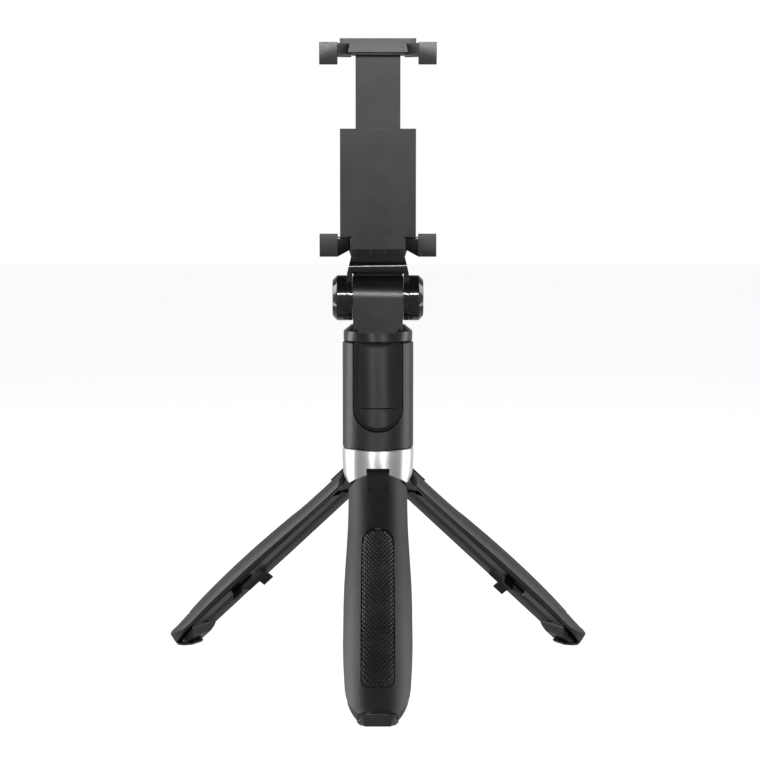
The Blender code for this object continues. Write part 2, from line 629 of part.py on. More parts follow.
def make_head(frame, inner_tube):
    sleeve = turned("head_sleeve", [
        (SLEEVE_RADIUS - SLEEVE_WALL, SLEEVE_BOTTOM), (SLEEVE_RADIUS - 0.3, SLEEVE_BOTTOM),
        (SLEEVE_RADIUS, SLEEVE_BOTTOM + 0.3), (SLEEVE_RADIUS, SLEEVE_TOP - 0.3),
        (SLEEVE_RADIUS - 0.3, SLEEVE_TOP), (SLEEVE_RADIUS - SLEEVE_WALL, SLEEVE_TOP)],
        soft_touch("head_sleeve_skin"), frame)
    cut(sleeve, u_prism("window_tool", WINDOW_HALF_WIDTH, SLEEVE_TOP + 5, -25, -6, None, frame))

    core_radius = SLEEVE_RADIUS - SLEEVE_WALL - GAP
    bore = POLE_RADIUS + 0.1
    lid = SLEEVE_TOP - 3.2
    hole = inner_tube + GAP
    core = turned("head_core", [
        (bore, SLEEVE_BOTTOM + 0.2), (core_radius, SLEEVE_BOTTOM + 0.2), (core_radius, SLEEVE_TOP),
        (hole, SLEEVE_TOP), (hole, lid), (bore, lid)],
        black_plastic("head_core_plastic"), frame)
    pocket = REMOTE_BACK - GAP
    cut(core, u_prism("pocket_tool", WINDOW_HALF_WIDTH - 0.1, SLEEVE_TOP + 5, -25, -pocket, None,
                      frame))

    remote = empty("remote_frame", parent=frame)
    high = SLEEVE_TOP - GAP
    flange_front = -REMOTE_BACK - REMOTE_FLANGE
    back = u_prism("remote_back", WINDOW_HALF_WIDTH - GAP - 0.1, high, flange_front,
                   -REMOTE_BACK, gloss_black("remote_back_plastic"), remote)
    deep = REMOTE_BACK + REMOTE_BACK_WALL + CELL_THICK + 2 * GAP + REMOTE_FACE_WALL
    inside = min(REMOTE_HALF_WIDTH - REMOTE_WALL,
                 math.sqrt(REMOTE_FACE_RADIUS ** 2 - deep ** 2))
    seam = WINDOW_CENTRE - 0.6
    room_low, room_high = seam + 2, high - 2.5
    cut(back, box("remote_room_tool", (-inside, -20, room_low),
                  (inside, -REMOTE_BACK - REMOTE_BACK_WALL, room_high + 1), None, remote))
    face_back = flange_front - GAP
    face = u_prism("remote_front", REMOTE_HALF_WIDTH, high - 1.2, -REMOTE_FACE_RADIUS - 3, face_back,
                   black_plastic("remote_front_plastic"), remote)
    button_frame = empty("button_frame", parent=remote)
    button = u_prism("shutter_button", REMOTE_HALF_WIDTH, WINDOW_CENTRE + 3,
                     -REMOTE_FACE_RADIUS - 3, face_back - BUTTON_TRAVEL,
                     black_plastic("shutter_button_plastic"), button_frame)
    outside = turned("face_tool", [
        (REMOTE_FACE_RADIUS, SLEEVE_BOTTOM - 5), (REMOTE_FACE_RADIUS + 12, SLEEVE_BOTTOM - 5),
        (REMOTE_FACE_RADIUS + 12, SLEEVE_TOP + 5), (REMOTE_FACE_RADIUS, SLEEVE_TOP + 5)],
        None, remote)
    room_front = math.sqrt(REMOTE_FACE_RADIUS ** 2 - inside ** 2) - REMOTE_FACE_WALL
    cut(face, outside,
        box("seam_tool", (-20, -20, SLEEVE_BOTTOM - 5), (20, 0, seam + GAP), None, remote),
        box("cell_room_tool", (-inside, -room_front, room_low), (inside, 0, room_high), None, remote))
    cut(button, outside, box("button_top_tool", (-20, -20, seam), (20, 0, seam + 8), None, remote))
    cell_radius = inside - GAP
    cell_low = room_high - GAP - 2 * cell_radius
    front = GAP - room_front
    box("remote_board", (-inside + GAP, front, room_low + GAP),
        (inside - GAP, front + BOARD_THICK, cell_low - GAP),
        material("board_green", (0.02, 0.16, 0.06), 0.5), remote)
    holder = empty("cell_frame", (0, front, cell_low + cell_radius), (math.radians(-90), 0, 0), remote)
    rod("remote_cell", cell_radius, 0.0, CELL_THICK, steel("remote_cell_steel"), holder, 28)


# ---------------------------------------------------------------- neck and tilt hinge
def make_neck(frame):
    low = SLEEVE_TOP + GAP
    rim = low + COLLAR_HEIGHT
    top = rim + COLLAR_CHAMFER
    neck = turned("neck_block", [
        (0, low), (COLLAR_RADIUS - 0.3, low), (COLLAR_RADIUS, low + 0.3), (COLLAR_RADIUS, rim),
        (LUG_HALF_WIDTH + 0.9, top), (0, top)],
        material("neck_plastic", (0.022, 0.022, 0.024), 0.3), frame)
    outline = arc((0, AXIS_Z), LUG_RADIUS, 0, 180, 28)
    outline += [(-LUG_RADIUS, low + 1), (LUG_RADIUS, low + 1)]
    lug = prism("lug_tool", outline, "X", -LUG_HALF_WIDTH, LUG_HALF_WIDTH, None, frame)
    for side in (-1, 1):
        notch = [(-7.4, rim - 0.4), (7.4, rim - 0.4), (9.4, top + 1), (-9.4, top + 1)]
        near, far = sorted((side * (LUG_RADIUS - 0.8), side * 20))
        tool = [(z, x) for x, z in notch]
        cut(neck, prism("notch_tool", tool, "Y", near, far, None, frame))
    join(neck, lug)
    bore = BOLT_RADIUS + GAP
    axis = empty("tilt_axis_bore", (0, 0, AXIS_Z), parent=frame)
    cut(neck, rod("lug_bore_tool", bore, -20, 20, None, axis, axis="X"))


def make_tilt_hinge(tilt):
    """Everything here is measured from the tilt axis."""
    cheek_in = LUG_HALF_WIDTH + GAP
    cheek_out = cheek_in + CHEEK_THICK
    cap_in = cheek_out + GAP
    cap_out = cap_in + CAP_THICK
    pocket = BOLT_HEAD + 2 * GAP
    for name, side in (("left", -1), ("right", 1)):
        profile = [(0, side * (cap_in + BOLT_HEAD_DEPTH)), (pocket, side * (cap_in + BOLT_HEAD_DEPTH)),
                   (pocket, side * cap_in), (CAP_RADIUS, side * cap_in),
                   (CAP_RADIUS, side * (cap_out - CAP_CHAMFER)),
                   (CAP_RADIUS - CAP_CHAMFER, side * cap_out), (0, side * cap_out)]
        turned(f"tilt_cap_{name}", profile, gloss_black(f"tilt_cap_gloss_{name}"), tilt, ROUND,
               "X")
    head_out = cap_in + BOLT_HEAD_DEPTH - GAP
    turned("tilt_bolt", [(0, -head_out), (BOLT_HEAD, -head_out), (BOLT_HEAD, -cap_in),
                         (BOLT_RADIUS, -cap_in), (BOLT_RADIUS, head_out), (0, head_out)],
           steel("tilt_bolt_steel"), tilt, SMALL_ROUND, "X")
    hexagon = [(BOLT_HEAD * math.cos(a), BOLT_HEAD * math.sin(a))
               for a in np.radians(np.arange(0, 360, 60))]
    nut = prism("tilt_nut", hexagon, "X", cap_in + 0.1, head_out, steel("tilt_nut_steel"), tilt)
    cut(nut, rod("nut_bore_tool", BOLT_RADIUS + GAP, 0, 30, None, tilt, axis="X"))

    # the yoke: two round cheeks and a bar over the lug
    bottom = LUG_RADIUS + 0.9
    under = HOUSING_BOTTOM - GAP
    top = JAW_SEAT - PAD_THICK - GAP - JAW_PLATE - GAP
    back = REST_PLANE + HOUSING_WALL + 5.0
    front = [(-y, z) for y, z in arc((YOKE_FRONT - 2.4, bottom + 2.5), 2.5, -80, 60, 6)]
    outline = front + [(-YOKE_FRONT + 1.0, bottom + 5.4), (-YOKE_FRONT + 0.1, bottom + 5.5),
                       (-YOKE_FRONT + 0.1, top), (REST_PLANE - 1.4, top),
                       (REST_PLANE - 1.4, under), (back, under), (back, bottom + 2),
                       (back - 2, bottom)]
    yoke = prism("tilt_yoke", outline, "X", -YOKE_FOOT_HALF, YOKE_FOOT_HALF,
                 gloss_black("tilt_yoke_gloss"), tilt)
    for side in (-1, 1):
        near, far = sorted((side * cheek_in, side * cheek_out))
        join(yoke, rod("cheek_disc_tool", CAP_RADIUS, near, far, None, tilt, ROUND, "X"),
             box("cheek_web_tool", (near, -6.2, 0), (far, 6.2, bottom + 3), None, tilt))
        slope = [(side * YOKE_FOOT_HALF, bottom - 0.5), (side * YOKE_TOP_HALF, top + 0.5),
                 (side * 30, top + 0.5), (side * 30, bottom - 0.5)]
        wedge = [(z, x) for x, z in slope]
        cut(yoke, prism("yoke_slope_tool", wedge, "Y", -30, 40, None, tilt))
    pitch = (2 * YOKE_TOP_HALF - 2.4) / 3
    half = (pitch - YOKE_RIB) / 2
    for centre in (-pitch, 0, pitch):
        cut(yoke, box("yoke_window_tool", (centre - half, -20, bottom + 6.0),
                      (centre + half, REST_PLANE - 3, top + 5), None, tilt))
    cut(yoke, rod("yoke_bore_tool", BOLT_RADIUS + GAP, -30, 30, None, tilt, axis="X"))


# ---------------------------------------------------------------- phone clamp
def jaw_outline(front, back):
    """A jaw from above: two hooks either side of a gap that clears the stick when folded."""
    inner = CLAMP_HALF_WIDTH - HOOK_WIDTH
    return mirrored([(REST_PLANE - BACK_BAND, back - 1.0), (inner, back - 6.6), (inner, front),
                     (CLAMP_HALF_WIDTH, front), (CLAMP_HALF_WIDTH, REST_PLANE + 2),
                     (CLAMP_HALF_WIDTH - 3.5, HOUSING_BACK)])


def add_lips(jaw, plate, up, height, parent):
    """Add the lips of a jaw's two hooks; up is +1 for the lower jaw and -1 for the upper."""
    inner = CLAMP_HALF_WIDTH - HOOK_WIDTH
    low, high = sorted((plate - up * 2.0, plate + up * height))
    for side in (-1, 1):
        near, far = sorted((side * inner, side * CLAMP_HALF_WIDTH))
        join(jaw, box("lip_tool", (near, HOOK_FRONT, low), (far, HOOK_FRONT + LIP_THICK, high), None,
                      parent))


def slant_fronts(jaw, low, ridge, high, parent):
    """The front of both hooks falls back a little above and below a ridge."""
    for end, past in ((low, low - 1), (high, high + 1)):
        wedge = [(HOOK_FRONT, ridge), (HOOK_FRONT + HOOK_SLANT, end), (HOOK_FRONT + HOOK_SLANT, past),
                 (HOOK_FRONT - 2, past), (HOOK_FRONT - 2, ridge)]
        cut(jaw, prism("slant_tool", wedge, "X", -CLAMP_HALF_WIDTH - 2, CLAMP_HALF_WIDTH + 2, None,
                       parent))


def jaw_pad(name, seat, up, parent):
    """One pad: two hook pads joined by a thin strip along the back."""
    inner = CLAMP_HALF_WIDTH - HOOK_WIDTH + 0.5
    front = HOOK_FRONT + LIP_THICK + GAP
    back = REST_PLANE - GAP
    outline = mirrored([(10.4, back), (10.6, back - 0.1), (inner, back - 5.9), (inner, front),
                        (CLAMP_HALF_WIDTH - 0.5, front), (CLAMP_HALF_WIDTH - 0.5, back)])
    low, high = sorted((seat - up * PAD_THICK, seat))
    half = len(outline) // 2
    for label, points in (("right", outline[:half]), ("left", outline[half:])):
        prism(f"{name}_{label}", points, "Z", low, high, rubber(f"{name}_rubber_{label}"), parent)


def make_clamp(tilt):
    """The lower jaw with its spring housing, measured from the tilt axis."""
    plate_top = JAW_SEAT - PAD_THICK - GAP
    outline = jaw_outline(HOOK_FRONT, REST_PLANE)
    base = prism("clamp_base", outline, "Z", plate_top - JAW_PLATE, plate_top,
                 material("clamp_plastic", (0.030, 0.028, 0.030), 0.45), tilt)
    add_lips(base, plate_top, 1, LIP_HEIGHT, tilt)
    inner = CLAMP_HALF_WIDTH - HOOK_WIDTH
    band = REST_PLANE - BACK_BAND
    hook_low = plate_top - JAW_PLATE - HOOK_DROP
    for side in (-1, 1):
        hook = [(side * inner, hook_low), (side * CLAMP_HALF_WIDTH, hook_low),
                (side * CLAMP_HALF_WIDTH, plate_top - 1), (side * band, plate_top - 1),
                (side * band, plate_top - JAW_PLATE)]
        tool = [(z, x) for x, z in hook]
        gap = [(0, -10), (side * band, REST_PLANE - 1.0), (side * inner, REST_PLANE - 6.6),
               (side * inner, -10)]
        body = prism("hook_tool", tool, "Y", HOOK_FRONT, REST_PLANE + 1, None, tilt)
        cut(body, prism("hook_gap_tool", gap, "Z", -5, 60, None, tilt))
        join(base, body)
    slant_fronts(base, hook_low, hook_low + 3.5, plate_top + LIP_HEIGHT, tilt)
    housing = box("housing_tool", (-HOUSING_HALF_WIDTH, REST_PLANE, HOUSING_BOTTOM),
                  (HOUSING_HALF_WIDTH, HOUSING_BACK, HOUSING_TOP), None, tilt)
    join(base, housing)
    cut(base, box("channel_tool", (-CHANNEL_HALF_WIDTH, CHANNEL_FRONT, HOUSING_BOTTOM + 1.8),
                  (CHANNEL_HALF_WIDTH, HOUSING_BACK + 10, HOUSING_TOP + 5), None, tilt))
    cover_low = HOUSING_BACK + GAP
    cover = box("clamp_cover", (-HOUSING_HALF_WIDTH, cover_low, HOUSING_BOTTOM),
                (HOUSING_HALF_WIDTH, cover_low + COVER_THICK, HOUSING_TOP - 0.5),
                material("cover_plastic", (0.026, 0.025, 0.027), 0.45), tilt)
    for side in (-1, 1):
        wall = side * (CHANNEL_HALF_WIDTH + 1.0)
        high = HOUSING_BOTTOM + HOUSING_CORNER
        corner = [(HOUSING_BOTTOM - 1, wall), (HOUSING_BOTTOM, wall), (high, wall + side * 1.6),
                  (high, side * (HOUSING_HALF_WIDTH + 1)),
                  (HOUSING_BOTTOM - 1, side * (HOUSING_HALF_WIDTH + 1))]
        tool = prism("corner_tool", corner, "Y", REST_PLANE - 1, cover_low + COVER_THICK + 1, None, tilt)
        cut(base, tool)
        cut(cover, tool)
    for name, side in (("left", -1), ("right", 1)):
        across = side * (CHANNEL_HALF_WIDTH + HOUSING_HALF_WIDTH) / 2
        axis = empty(f"cover_screw_axis_{name}", (across, cover_low + COVER_THICK,
                                                  HOUSING_TOP - 6.0),
                     (math.radians(90), 0, 0), tilt)
        hole = SCREW_RADIUS + GAP
        tool = rod("screw_bore_tool", hole, -2, 5.6, None, axis)
        cut(cover, tool)
        cut(base, tool)
        turned(f"cover_screw_{name}", [(0, -1.2), (1.0, -1.2), (1.7, -GAP - 0.3), (1.7, -GAP),
                                       (SCREW_RADIUS, -GAP), (SCREW_RADIUS, 5.2), (0, 5.2)],
               steel(f"cover_screw_steel_{name}"), axis, SMALL_ROUND)
    jaw_pad("lower_pad", JAW_SEAT, 1, tilt)


def make_upper_jaw(tilt):
    """The sliding jaw, with the plate that runs in the housing."""
    frame = empty("jaw_frame", parent=tilt)
    seat = JAW_SEAT + OPENING
    plate_bottom = seat + PAD_THICK + GAP
    jaw = prism("upper_jaw", jaw_outline(HOOK_FRONT, REST_PLANE), "Z", plate_bottom,
                plate_bottom + JAW_PLATE,
                material("upper_jaw_plastic", (0.018, 0.018, 0.019), 0.4), frame)
    plate_top = plate_bottom + JAW_PLATE
    add_lips(jaw, plate_bottom, -1, UPPER_LIP_HEIGHT, frame)
    slant_fronts(jaw, plate_bottom - UPPER_LIP_HEIGHT, plate_bottom, plate_top, frame)
    crown = [(REST_PLANE - 2.0, plate_bottom + 1), (HOUSING_BACK, plate_bottom + 1),
             (HOUSING_BACK, plate_top + 1.4), (REST_PLANE - 1.0, plate_top + 2.2)]
    join(jaw, prism("crown_tool", crown, "X", -HOUSING_HALF_WIDTH, HOUSING_HALF_WIDTH, None, frame))
    front = CHANNEL_FRONT + GAP
    half = CHANNEL_HALF_WIDTH - GAP
    slider = box("slider_tool", (-half, front, SLIDER_BOTTOM),
                 (half, front + SLIDER_THICK, plate_bottom + 1), None, frame)
    slot = SPRING_RADIUS + SPRING_WIRE + GAP
    for side in (-1, 1):
        cut(slider, box("spring_slot_tool", (side * SPRING_PLACE - slot, 0, 0),
                        (side * SPRING_PLACE + slot, 40, SLIDER_BOTTOM + 18), None, frame))
    join(jaw, slider)
    jaw_pad("upper_pad", seat, -1, frame)


def make_spring(name, across, tilt):
    """An extension spring that pulls the upper jaw down, as a coil of wire."""
    low, high = HOUSING_BOTTOM + 3.0, SLIDER_BOTTOM + 17.0
    curve = bpy.data.curves.new(name, "CURVE")
    curve.dimensions = "3D"
    curve.bevel_depth = SPRING_WIRE * MM
    curve.bevel_resolution = 0
    curve.use_fill_caps = True
    spline = curve.splines.new("POLY")
    count = SPRING_TURNS * 6 + 1
    spline.points.add(count - 1)
    middle = CHANNEL_FRONT + GAP + SLIDER_THICK / 2
    for k, point in enumerate(spline.points):
        angle = 2 * math.pi * k / 6
        height = low + (high - low) * k / (count - 1)
        place = Vector((across + SPRING_RADIUS * math.cos(angle),
                        middle + SPRING_RADIUS * math.sin(angle), height)) * MM
        point.co = (*place, 1.0)
    made = bpy.data.objects.new(name, curve)
    made.parent = tilt
    curve.materials.append(steel(f"{name}_steel"))
    bpy.context.collection.objects.link(made)


# ---------------------------------------------------------------- assembly
make_hub()
for leg_name, leg_turn in AZIMUTH.items():
    make_leg(leg_name, leg_turn)
head, last_radius = make_pole()
make_head(head, last_radius)
make_neck(head)
tilt_axis = empty("tilt_axis", (0, 0, AXIS_Z), parent=head)
make_tilt_hinge(tilt_axis)
make_clamp(tilt_axis)
make_upper_jaw(tilt_axis)
make_spring("jaw_spring_left", -SPRING_PLACE, tilt_axis)
make_spring("jaw_spring_right", SPRING_PLACE, tilt_axis)


def centre_on_footprint():
    """Move the whole stick so that the origin is under the middle of its box."""
    bpy.context.view_layer.update()
    graph = bpy.context.evaluated_depsgraph_get()
    places = []
    for item in bpy.data.objects:
        if item.type == "EMPTY" or item.hide_render:
            continue
        mesh = item.evaluated_get(graph).to_mesh()
        places += [item.matrix_world @ v.co for v in mesh.vertices]
        item.evaluated_get(graph).to_mesh_clear()
    low = [min(p[i] for p in places) for i in range(3)]
    high = [max(p[i] for p in places) for i in range(3)]
    ROOT.location = (-(low[0] + high[0]) / 2, -(low[1] + high[1]) / 2, -low[2])
    bpy.context.view_layer.update()


centre_on_footprint()
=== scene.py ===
# %% [markdown]
# # A pocket selfie stick, standing on its three legs
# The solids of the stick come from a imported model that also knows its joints. This lesson
# gives them the surface of the real thing: rounded edges, moulded grain, a studded rubber grip,
# small screws and ribs. Each step says what the piece is, how else it could be made, and why
# this way was chosen. All lengths are metres, so MM turns millimetres into them.

# %% Load the model
import json
import math

import bmesh
import bpy
import numpy as np
from mathutils import Matrix, Vector


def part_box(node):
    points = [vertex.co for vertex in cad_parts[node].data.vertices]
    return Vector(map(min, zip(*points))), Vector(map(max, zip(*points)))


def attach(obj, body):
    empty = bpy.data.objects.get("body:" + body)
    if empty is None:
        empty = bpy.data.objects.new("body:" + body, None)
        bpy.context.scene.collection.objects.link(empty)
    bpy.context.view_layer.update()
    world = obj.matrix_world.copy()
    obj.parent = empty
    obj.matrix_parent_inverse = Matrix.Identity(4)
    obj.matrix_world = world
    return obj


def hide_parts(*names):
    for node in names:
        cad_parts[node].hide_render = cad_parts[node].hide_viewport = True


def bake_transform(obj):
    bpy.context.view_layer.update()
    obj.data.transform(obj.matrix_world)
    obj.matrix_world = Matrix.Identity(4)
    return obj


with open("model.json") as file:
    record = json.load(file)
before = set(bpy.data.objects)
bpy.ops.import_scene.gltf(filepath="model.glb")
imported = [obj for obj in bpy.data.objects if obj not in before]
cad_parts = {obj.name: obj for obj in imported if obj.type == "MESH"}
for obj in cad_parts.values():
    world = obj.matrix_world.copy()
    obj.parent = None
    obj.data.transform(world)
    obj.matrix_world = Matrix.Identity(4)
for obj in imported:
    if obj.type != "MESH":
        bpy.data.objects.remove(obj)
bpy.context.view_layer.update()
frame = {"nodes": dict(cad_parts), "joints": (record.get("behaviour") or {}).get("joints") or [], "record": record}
nodes = frame["nodes"]
record = frame["record"]
MM = 0.001
SIDES = ("front", "left", "right")

# %% [markdown]
# ## Where things are
# Nothing is placed by eye. The pole's own box gives the stick's axis, and the joints give the
# pivots. A leg has a frame of its own, with X across the leg, Y towards the stick and Z back up
# the folded leg, because a pattern on a leg is easiest to write along the leg.

# %% The stick's axis and the frames of the legs
pole_low, pole_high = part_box("outer_tube")
AXIS = (pole_low + pole_high) / 2
joints = {joint["name"]: joint for joint in frame["joints"]}


def leg_frame(side):
    """Leg coordinates to world coordinates, with the leg open, and how far out the pivot is."""
    joint = joints[f"leg_{side}_fold"]
    pivot = Vector(joint["pos_m"])
    along_pin = Vector(joint["axis"])
    turn = math.atan2(along_pin.y, along_pin.x)
    open_angle = math.radians(max(joint["range_deg"]))
    reach = math.hypot(pivot.x - AXIS.x, pivot.y - AXIS.y)
    place = (Matrix.Translation(pivot) @ Matrix.Rotation(turn, 4, "Z")
             @ Matrix.Rotation(-open_angle, 4, "X"))
    return place, reach


LEG_FRAMES = {side: leg_frame(side) for side in SIDES}
BODY_OF = {node: body for body, members in record["behaviour"]["bodies"].items()
           for node in members}
SLOT_OF = {part["node"]: part["material_slot"] for part in record["subparts"]}
print("pivots", [round(place.translation.z / MM, 1) for place, _ in LEG_FRAMES.values()], "mm up")

# %% [markdown]
# ## Writing node trees as sums
# A node tree made in Python is hard to read when each link has its own line. One small class
# wraps a socket and overloads the operators, so that `1 - mask` adds the Math node by itself.
# Any other node comes from one method. The same class serves materials and Geometry Nodes.


# %% A graph of nodes
class Wire:
    """An output socket. A sum on it adds a Math node to its tree."""

    def __init__(self, graph, socket):
        self.graph = graph
        self.socket = socket

    def math(self, operation, *values):
        """A Math node on these values, which may be wires or plain numbers."""
        sockets = dict(enumerate(values))
        return self.graph.add("ShaderNodeMath", {"operation": operation}, sockets)

    def __add__(self, other):
        return self.math("ADD", self, other)

    def __sub__(self, other):
        return self.math("SUBTRACT", self, other)

    def __rsub__(self, other):
        return self.math("SUBTRACT", other, self)

    def __mul__(self, other):
        return self.math("MULTIPLY", self, other)

    def __truediv__(self, other):
        return self.math("DIVIDE", self, other)

    def __rtruediv__(self, other):
        return self.math("DIVIDE", other, self)

    def __mod__(self, other):
        return self.math("FLOORED_MODULO", self, other)

    __radd__ = __add__
    __rmul__ = __mul__

    def floor(self):
        """The whole number below."""
        return self.math("FLOOR", self)

    def out(self, name):
        """Another output of the same node."""
        return Wire(self.graph, self.socket.node.outputs[name])


class Graph:
    """A node tree, and the one way to add a node to it."""

    def __init__(self, tree):
        self.tree = tree

    def add(self, kind, settings=None, sockets=None):
        """A new node with its settings, and its sockets given as values or wires."""
        node = self.tree.nodes.new(kind)
        for name, value in (settings or {}).items():
            if name == "stops":
                self.set_stops(node.color_ramp, value)
            else:
                setattr(node, name, value)
        for key, value in (sockets or {}).items():
            if isinstance(value, Wire):
                self.tree.links.new(value.socket, node.inputs[key])
            else:
                node.inputs[key].default_value = value
        return Wire(self, next((s for s in node.outputs if s.enabled), None))

    @staticmethod
    def set_stops(ramp, stops):
        """Give a colour ramp its grey stops, each a place and a value."""
        while len(ramp.elements) < len(stops):
            ramp.elements.new(1.0)
        for element, (place, value) in zip(ramp.elements, stops):
            element.position = place
            element.color = (value, value, value, 1.0)

    def ramp(self, factor, low, high):
        """0 below low, 1 above high."""
        stops = [(low, 0.0), (high, 1.0)]
        return self.add("ShaderNodeValToRGB", {"stops": stops}, {"Fac": factor})

    def vector(self, x, y, z):
        return self.add("ShaderNodeCombineXYZ", None, {"X": x, "Y": y, "Z": z})


# %% [markdown]
# ## The finishes
# Most of the stick is nearly black, so what tells its finishes apart is how they take the
# light. A flat colour would look like paint. Each finish here has a fine grain in its
# bump, a slow drift in its roughness where hands and moulds leave their marks, and a colour that
# varies a little. The grain is in Object coordinates, which are metres, so its scale is a real
# one: 4000 grains per metre are grains of a quarter of a millimetre.

# %% One function for every moulded or metal finish
MIX_A, MIX_B = 6, 7         # the colour sockets of a Mix node
CLOUD_SCALE = 90.0          # patches per metre in the slow drift


def noise(graph, scale, detail=2.0, stretch=(1, 1, 1)):
    """Grain with a real scale, in grains per metre; a stretch of 0.1 makes it ten times longer."""
    place = graph.add("ShaderNodeTexCoord").out("Object")
    place = graph.add("ShaderNodeMapping", None, {"Vector": place, "Scale": stretch})
    return graph.add("ShaderNodeTexNoise", None, {"Vector": place, "Scale": scale, "Detail": detail})


def new_finish(name, constants):
    """A Principled material, with the sockets that are the same all over the surface."""
    made = bpy.data.materials.new(name)
    made.use_nodes = True
    shader = made.node_tree.nodes["Principled BSDF"]
    for socket, value in constants.items():
        shader.inputs[socket].default_value = value
    return made, Graph(made.node_tree), shader


def plastic(name, dark, light, roughness, drift, grain, depth, stretch=(1, 1, 1), **constants):
    """A surface with two close colours, a drifting roughness and a fine grain."""
    made, graph, shader = new_finish(name, constants)
    links = graph.tree.links
    cloud = noise(graph, CLOUD_SCALE, 3.0)
    fine = noise(graph, grain, 2.0, stretch)
    blend = graph.ramp(cloud * 0.7 + fine * 0.3, 0.35, 0.65)
    colour = graph.add("ShaderNodeMix", {"data_type": "RGBA"},
                       {0: blend, MIX_A: (*dark, 1.0), MIX_B: (*light, 1.0)})
    rough = roughness + (cloud - 0.5) * drift + (fine - 0.5) * drift
    bump = graph.add("ShaderNodeBump", None, {"Strength": 0.5, "Distance": depth, "Height": fine})
    links.new(colour.socket, shader.inputs["Base Color"])
    links.new(rough.socket, shader.inputs["Roughness"])
    links.new(bump.socket, shader.inputs["Normal"])
    return made


# %% [markdown]
# The legs and the head have a soft-touch coat, a rubbery lacquer that swallows light in the
# middle of a curve and goes grey towards its edges. Sheen does that edge, because a sheen lobe
# grows as the surface turns away. The inner sides are polished plastic, so they get a clear coat.
# The ring is drawn metal: its grain runs round it, which is why the noise is squeezed along Z.

# %% The finishes of the stick
FINISHES = {
    "soft_touch": plastic("soft_touch_coat", (0.0045, 0.0043, 0.005), (0.0075, 0.0072, 0.008), 0.44,
                          0.08, 5200.0, 0.02 * MM,
                          **{"Sheen Weight": 0.02, "Sheen Roughness": 0.45,
                             "Sheen Tint": (0.9, 0.88, 0.95, 1.0)}),
    "gloss_black": plastic("polished_black_plastic", (0.0035, 0.0035, 0.004), (0.006, 0.006, 0.007),
                           0.14, 0.06, 900.0, 0.002 * MM,
                           **{"Coat Weight": 0.4, "Coat Roughness": 0.06}),
    "groove_black": plastic("dark_satin_plastic", (0.003, 0.003, 0.0035), (0.005, 0.005, 0.006),
                            0.38, 0.08, 4200.0, 0.01 * MM, **{"Specular IOR Level": 0.12}),
    "black_plastic": plastic("moulded_black_plastic", (0.0025, 0.0025, 0.003), (0.005, 0.005, 0.006),
                             0.40, 0.10, 4200.0, 0.03 * MM),
    "satin_plastic": plastic("satin_charcoal_plastic", (0.0045, 0.004, 0.0048),
                             (0.0075, 0.007, 0.0078), 0.32, 0.08, 3600.0, 0.02 * MM),
    "rubber": plastic("black_rubber", (0.004, 0.004, 0.004), (0.009, 0.009, 0.009), 0.36, 0.14,
                      3000.0, 0.02 * MM, **{"Specular IOR Level": 0.75}),
    "ring_metal": plastic("drawn_ring_metal", (0.86, 0.86, 0.89), (0.93, 0.93, 0.95), 0.33, 0.06,
                          9000.0, 0.0004 * MM, (0.02, 0.02, 1.0), Metallic=1.0),
    "tube_steel": plastic("drawn_tube_steel", (0.62, 0.62, 0.64), (0.72, 0.72, 0.74), 0.20, 0.08,
                          9000.0, 0.002 * MM, (1.0, 1.0, 0.02), Metallic=1.0),
    "steel": plastic("plated_screw_steel", (0.50, 0.50, 0.52), (0.62, 0.62, 0.64), 0.28, 0.10,
                     2500.0, 0.01 * MM, Metallic=1.0),
    "nylon": plastic("natural_nylon", (0.55, 0.55, 0.52), (0.65, 0.65, 0.62), 0.45, 0.10,
                     3000.0, 0.02 * MM),
    "board": plastic("circuit_board_mask", (0.012, 0.10, 0.04), (0.02, 0.16, 0.06), 0.35, 0.10,
                     1800.0, 0.02 * MM),
}
print(len(FINISHES), "finishes")

# %% [markdown]
# ## Rounded edges
# No moulded edge is sharp: each has a radius of a few tenths of a millimetre, and that radius is
# what draws the thin bright line along an edge. The solids have sharp edges, so the outer pieces
# are copied and their edges are rounded with a Bevel modifier. Modelling every radius in the solid
# would work too, but a modifier keeps the width a single number. The copy's loose triangles are
# merged first, because a bevel needs faces that share their edges. The triangles of a flat stay
# apart: joined into one big face, a hollow outline fills in wrongly after the bevel.


# %% Copy a solid and round its edges
def link(piece):
    """Put a piece into the scene."""
    bpy.context.scene.collection.objects.link(piece)
    return piece


def applied(piece):
    """Turn what the modifiers make into the piece's plain mesh."""
    graph = bpy.context.evaluated_depsgraph_get()
    mesh = bpy.data.meshes.new_from_object(piece.evaluated_get(graph))
    piece.modifiers.clear()
    piece.data = mesh
    return piece


def rounded(piece, width, segments=3, angle=28):
    """Round the edges that turn by more than an angle, and keep the flats flat."""
    piece.data.shade_smooth()
    bevel = piece.modifiers.new("edge_radius", "BEVEL")
    bevel.width = width
    bevel.segments = segments
    bevel.limit_method = "ANGLE"
    bevel.angle_limit = math.radians(angle)
    bevel.use_clamp_overlap = True
    bevel.miter_outer = "MITER_ARC"
    applied(piece)
    piece.data.shade_smooth()
    piece.data.set_sharp_from_angle(angle=math.radians(40))
    weighted = piece.modifiers.new("flat_flats", "WEIGHTED_NORMAL")
    weighted.keep_sharp = True
    return applied(piece)


def faced_outwards(piece):
    """Turn every face of a closed mesh to the outside."""
    work = bmesh.new()
    work.from_mesh(piece.data)
    bmesh.ops.recalc_face_normals(work, faces=work.faces)
    work.to_mesh(piece.data)
    work.free()
    return piece


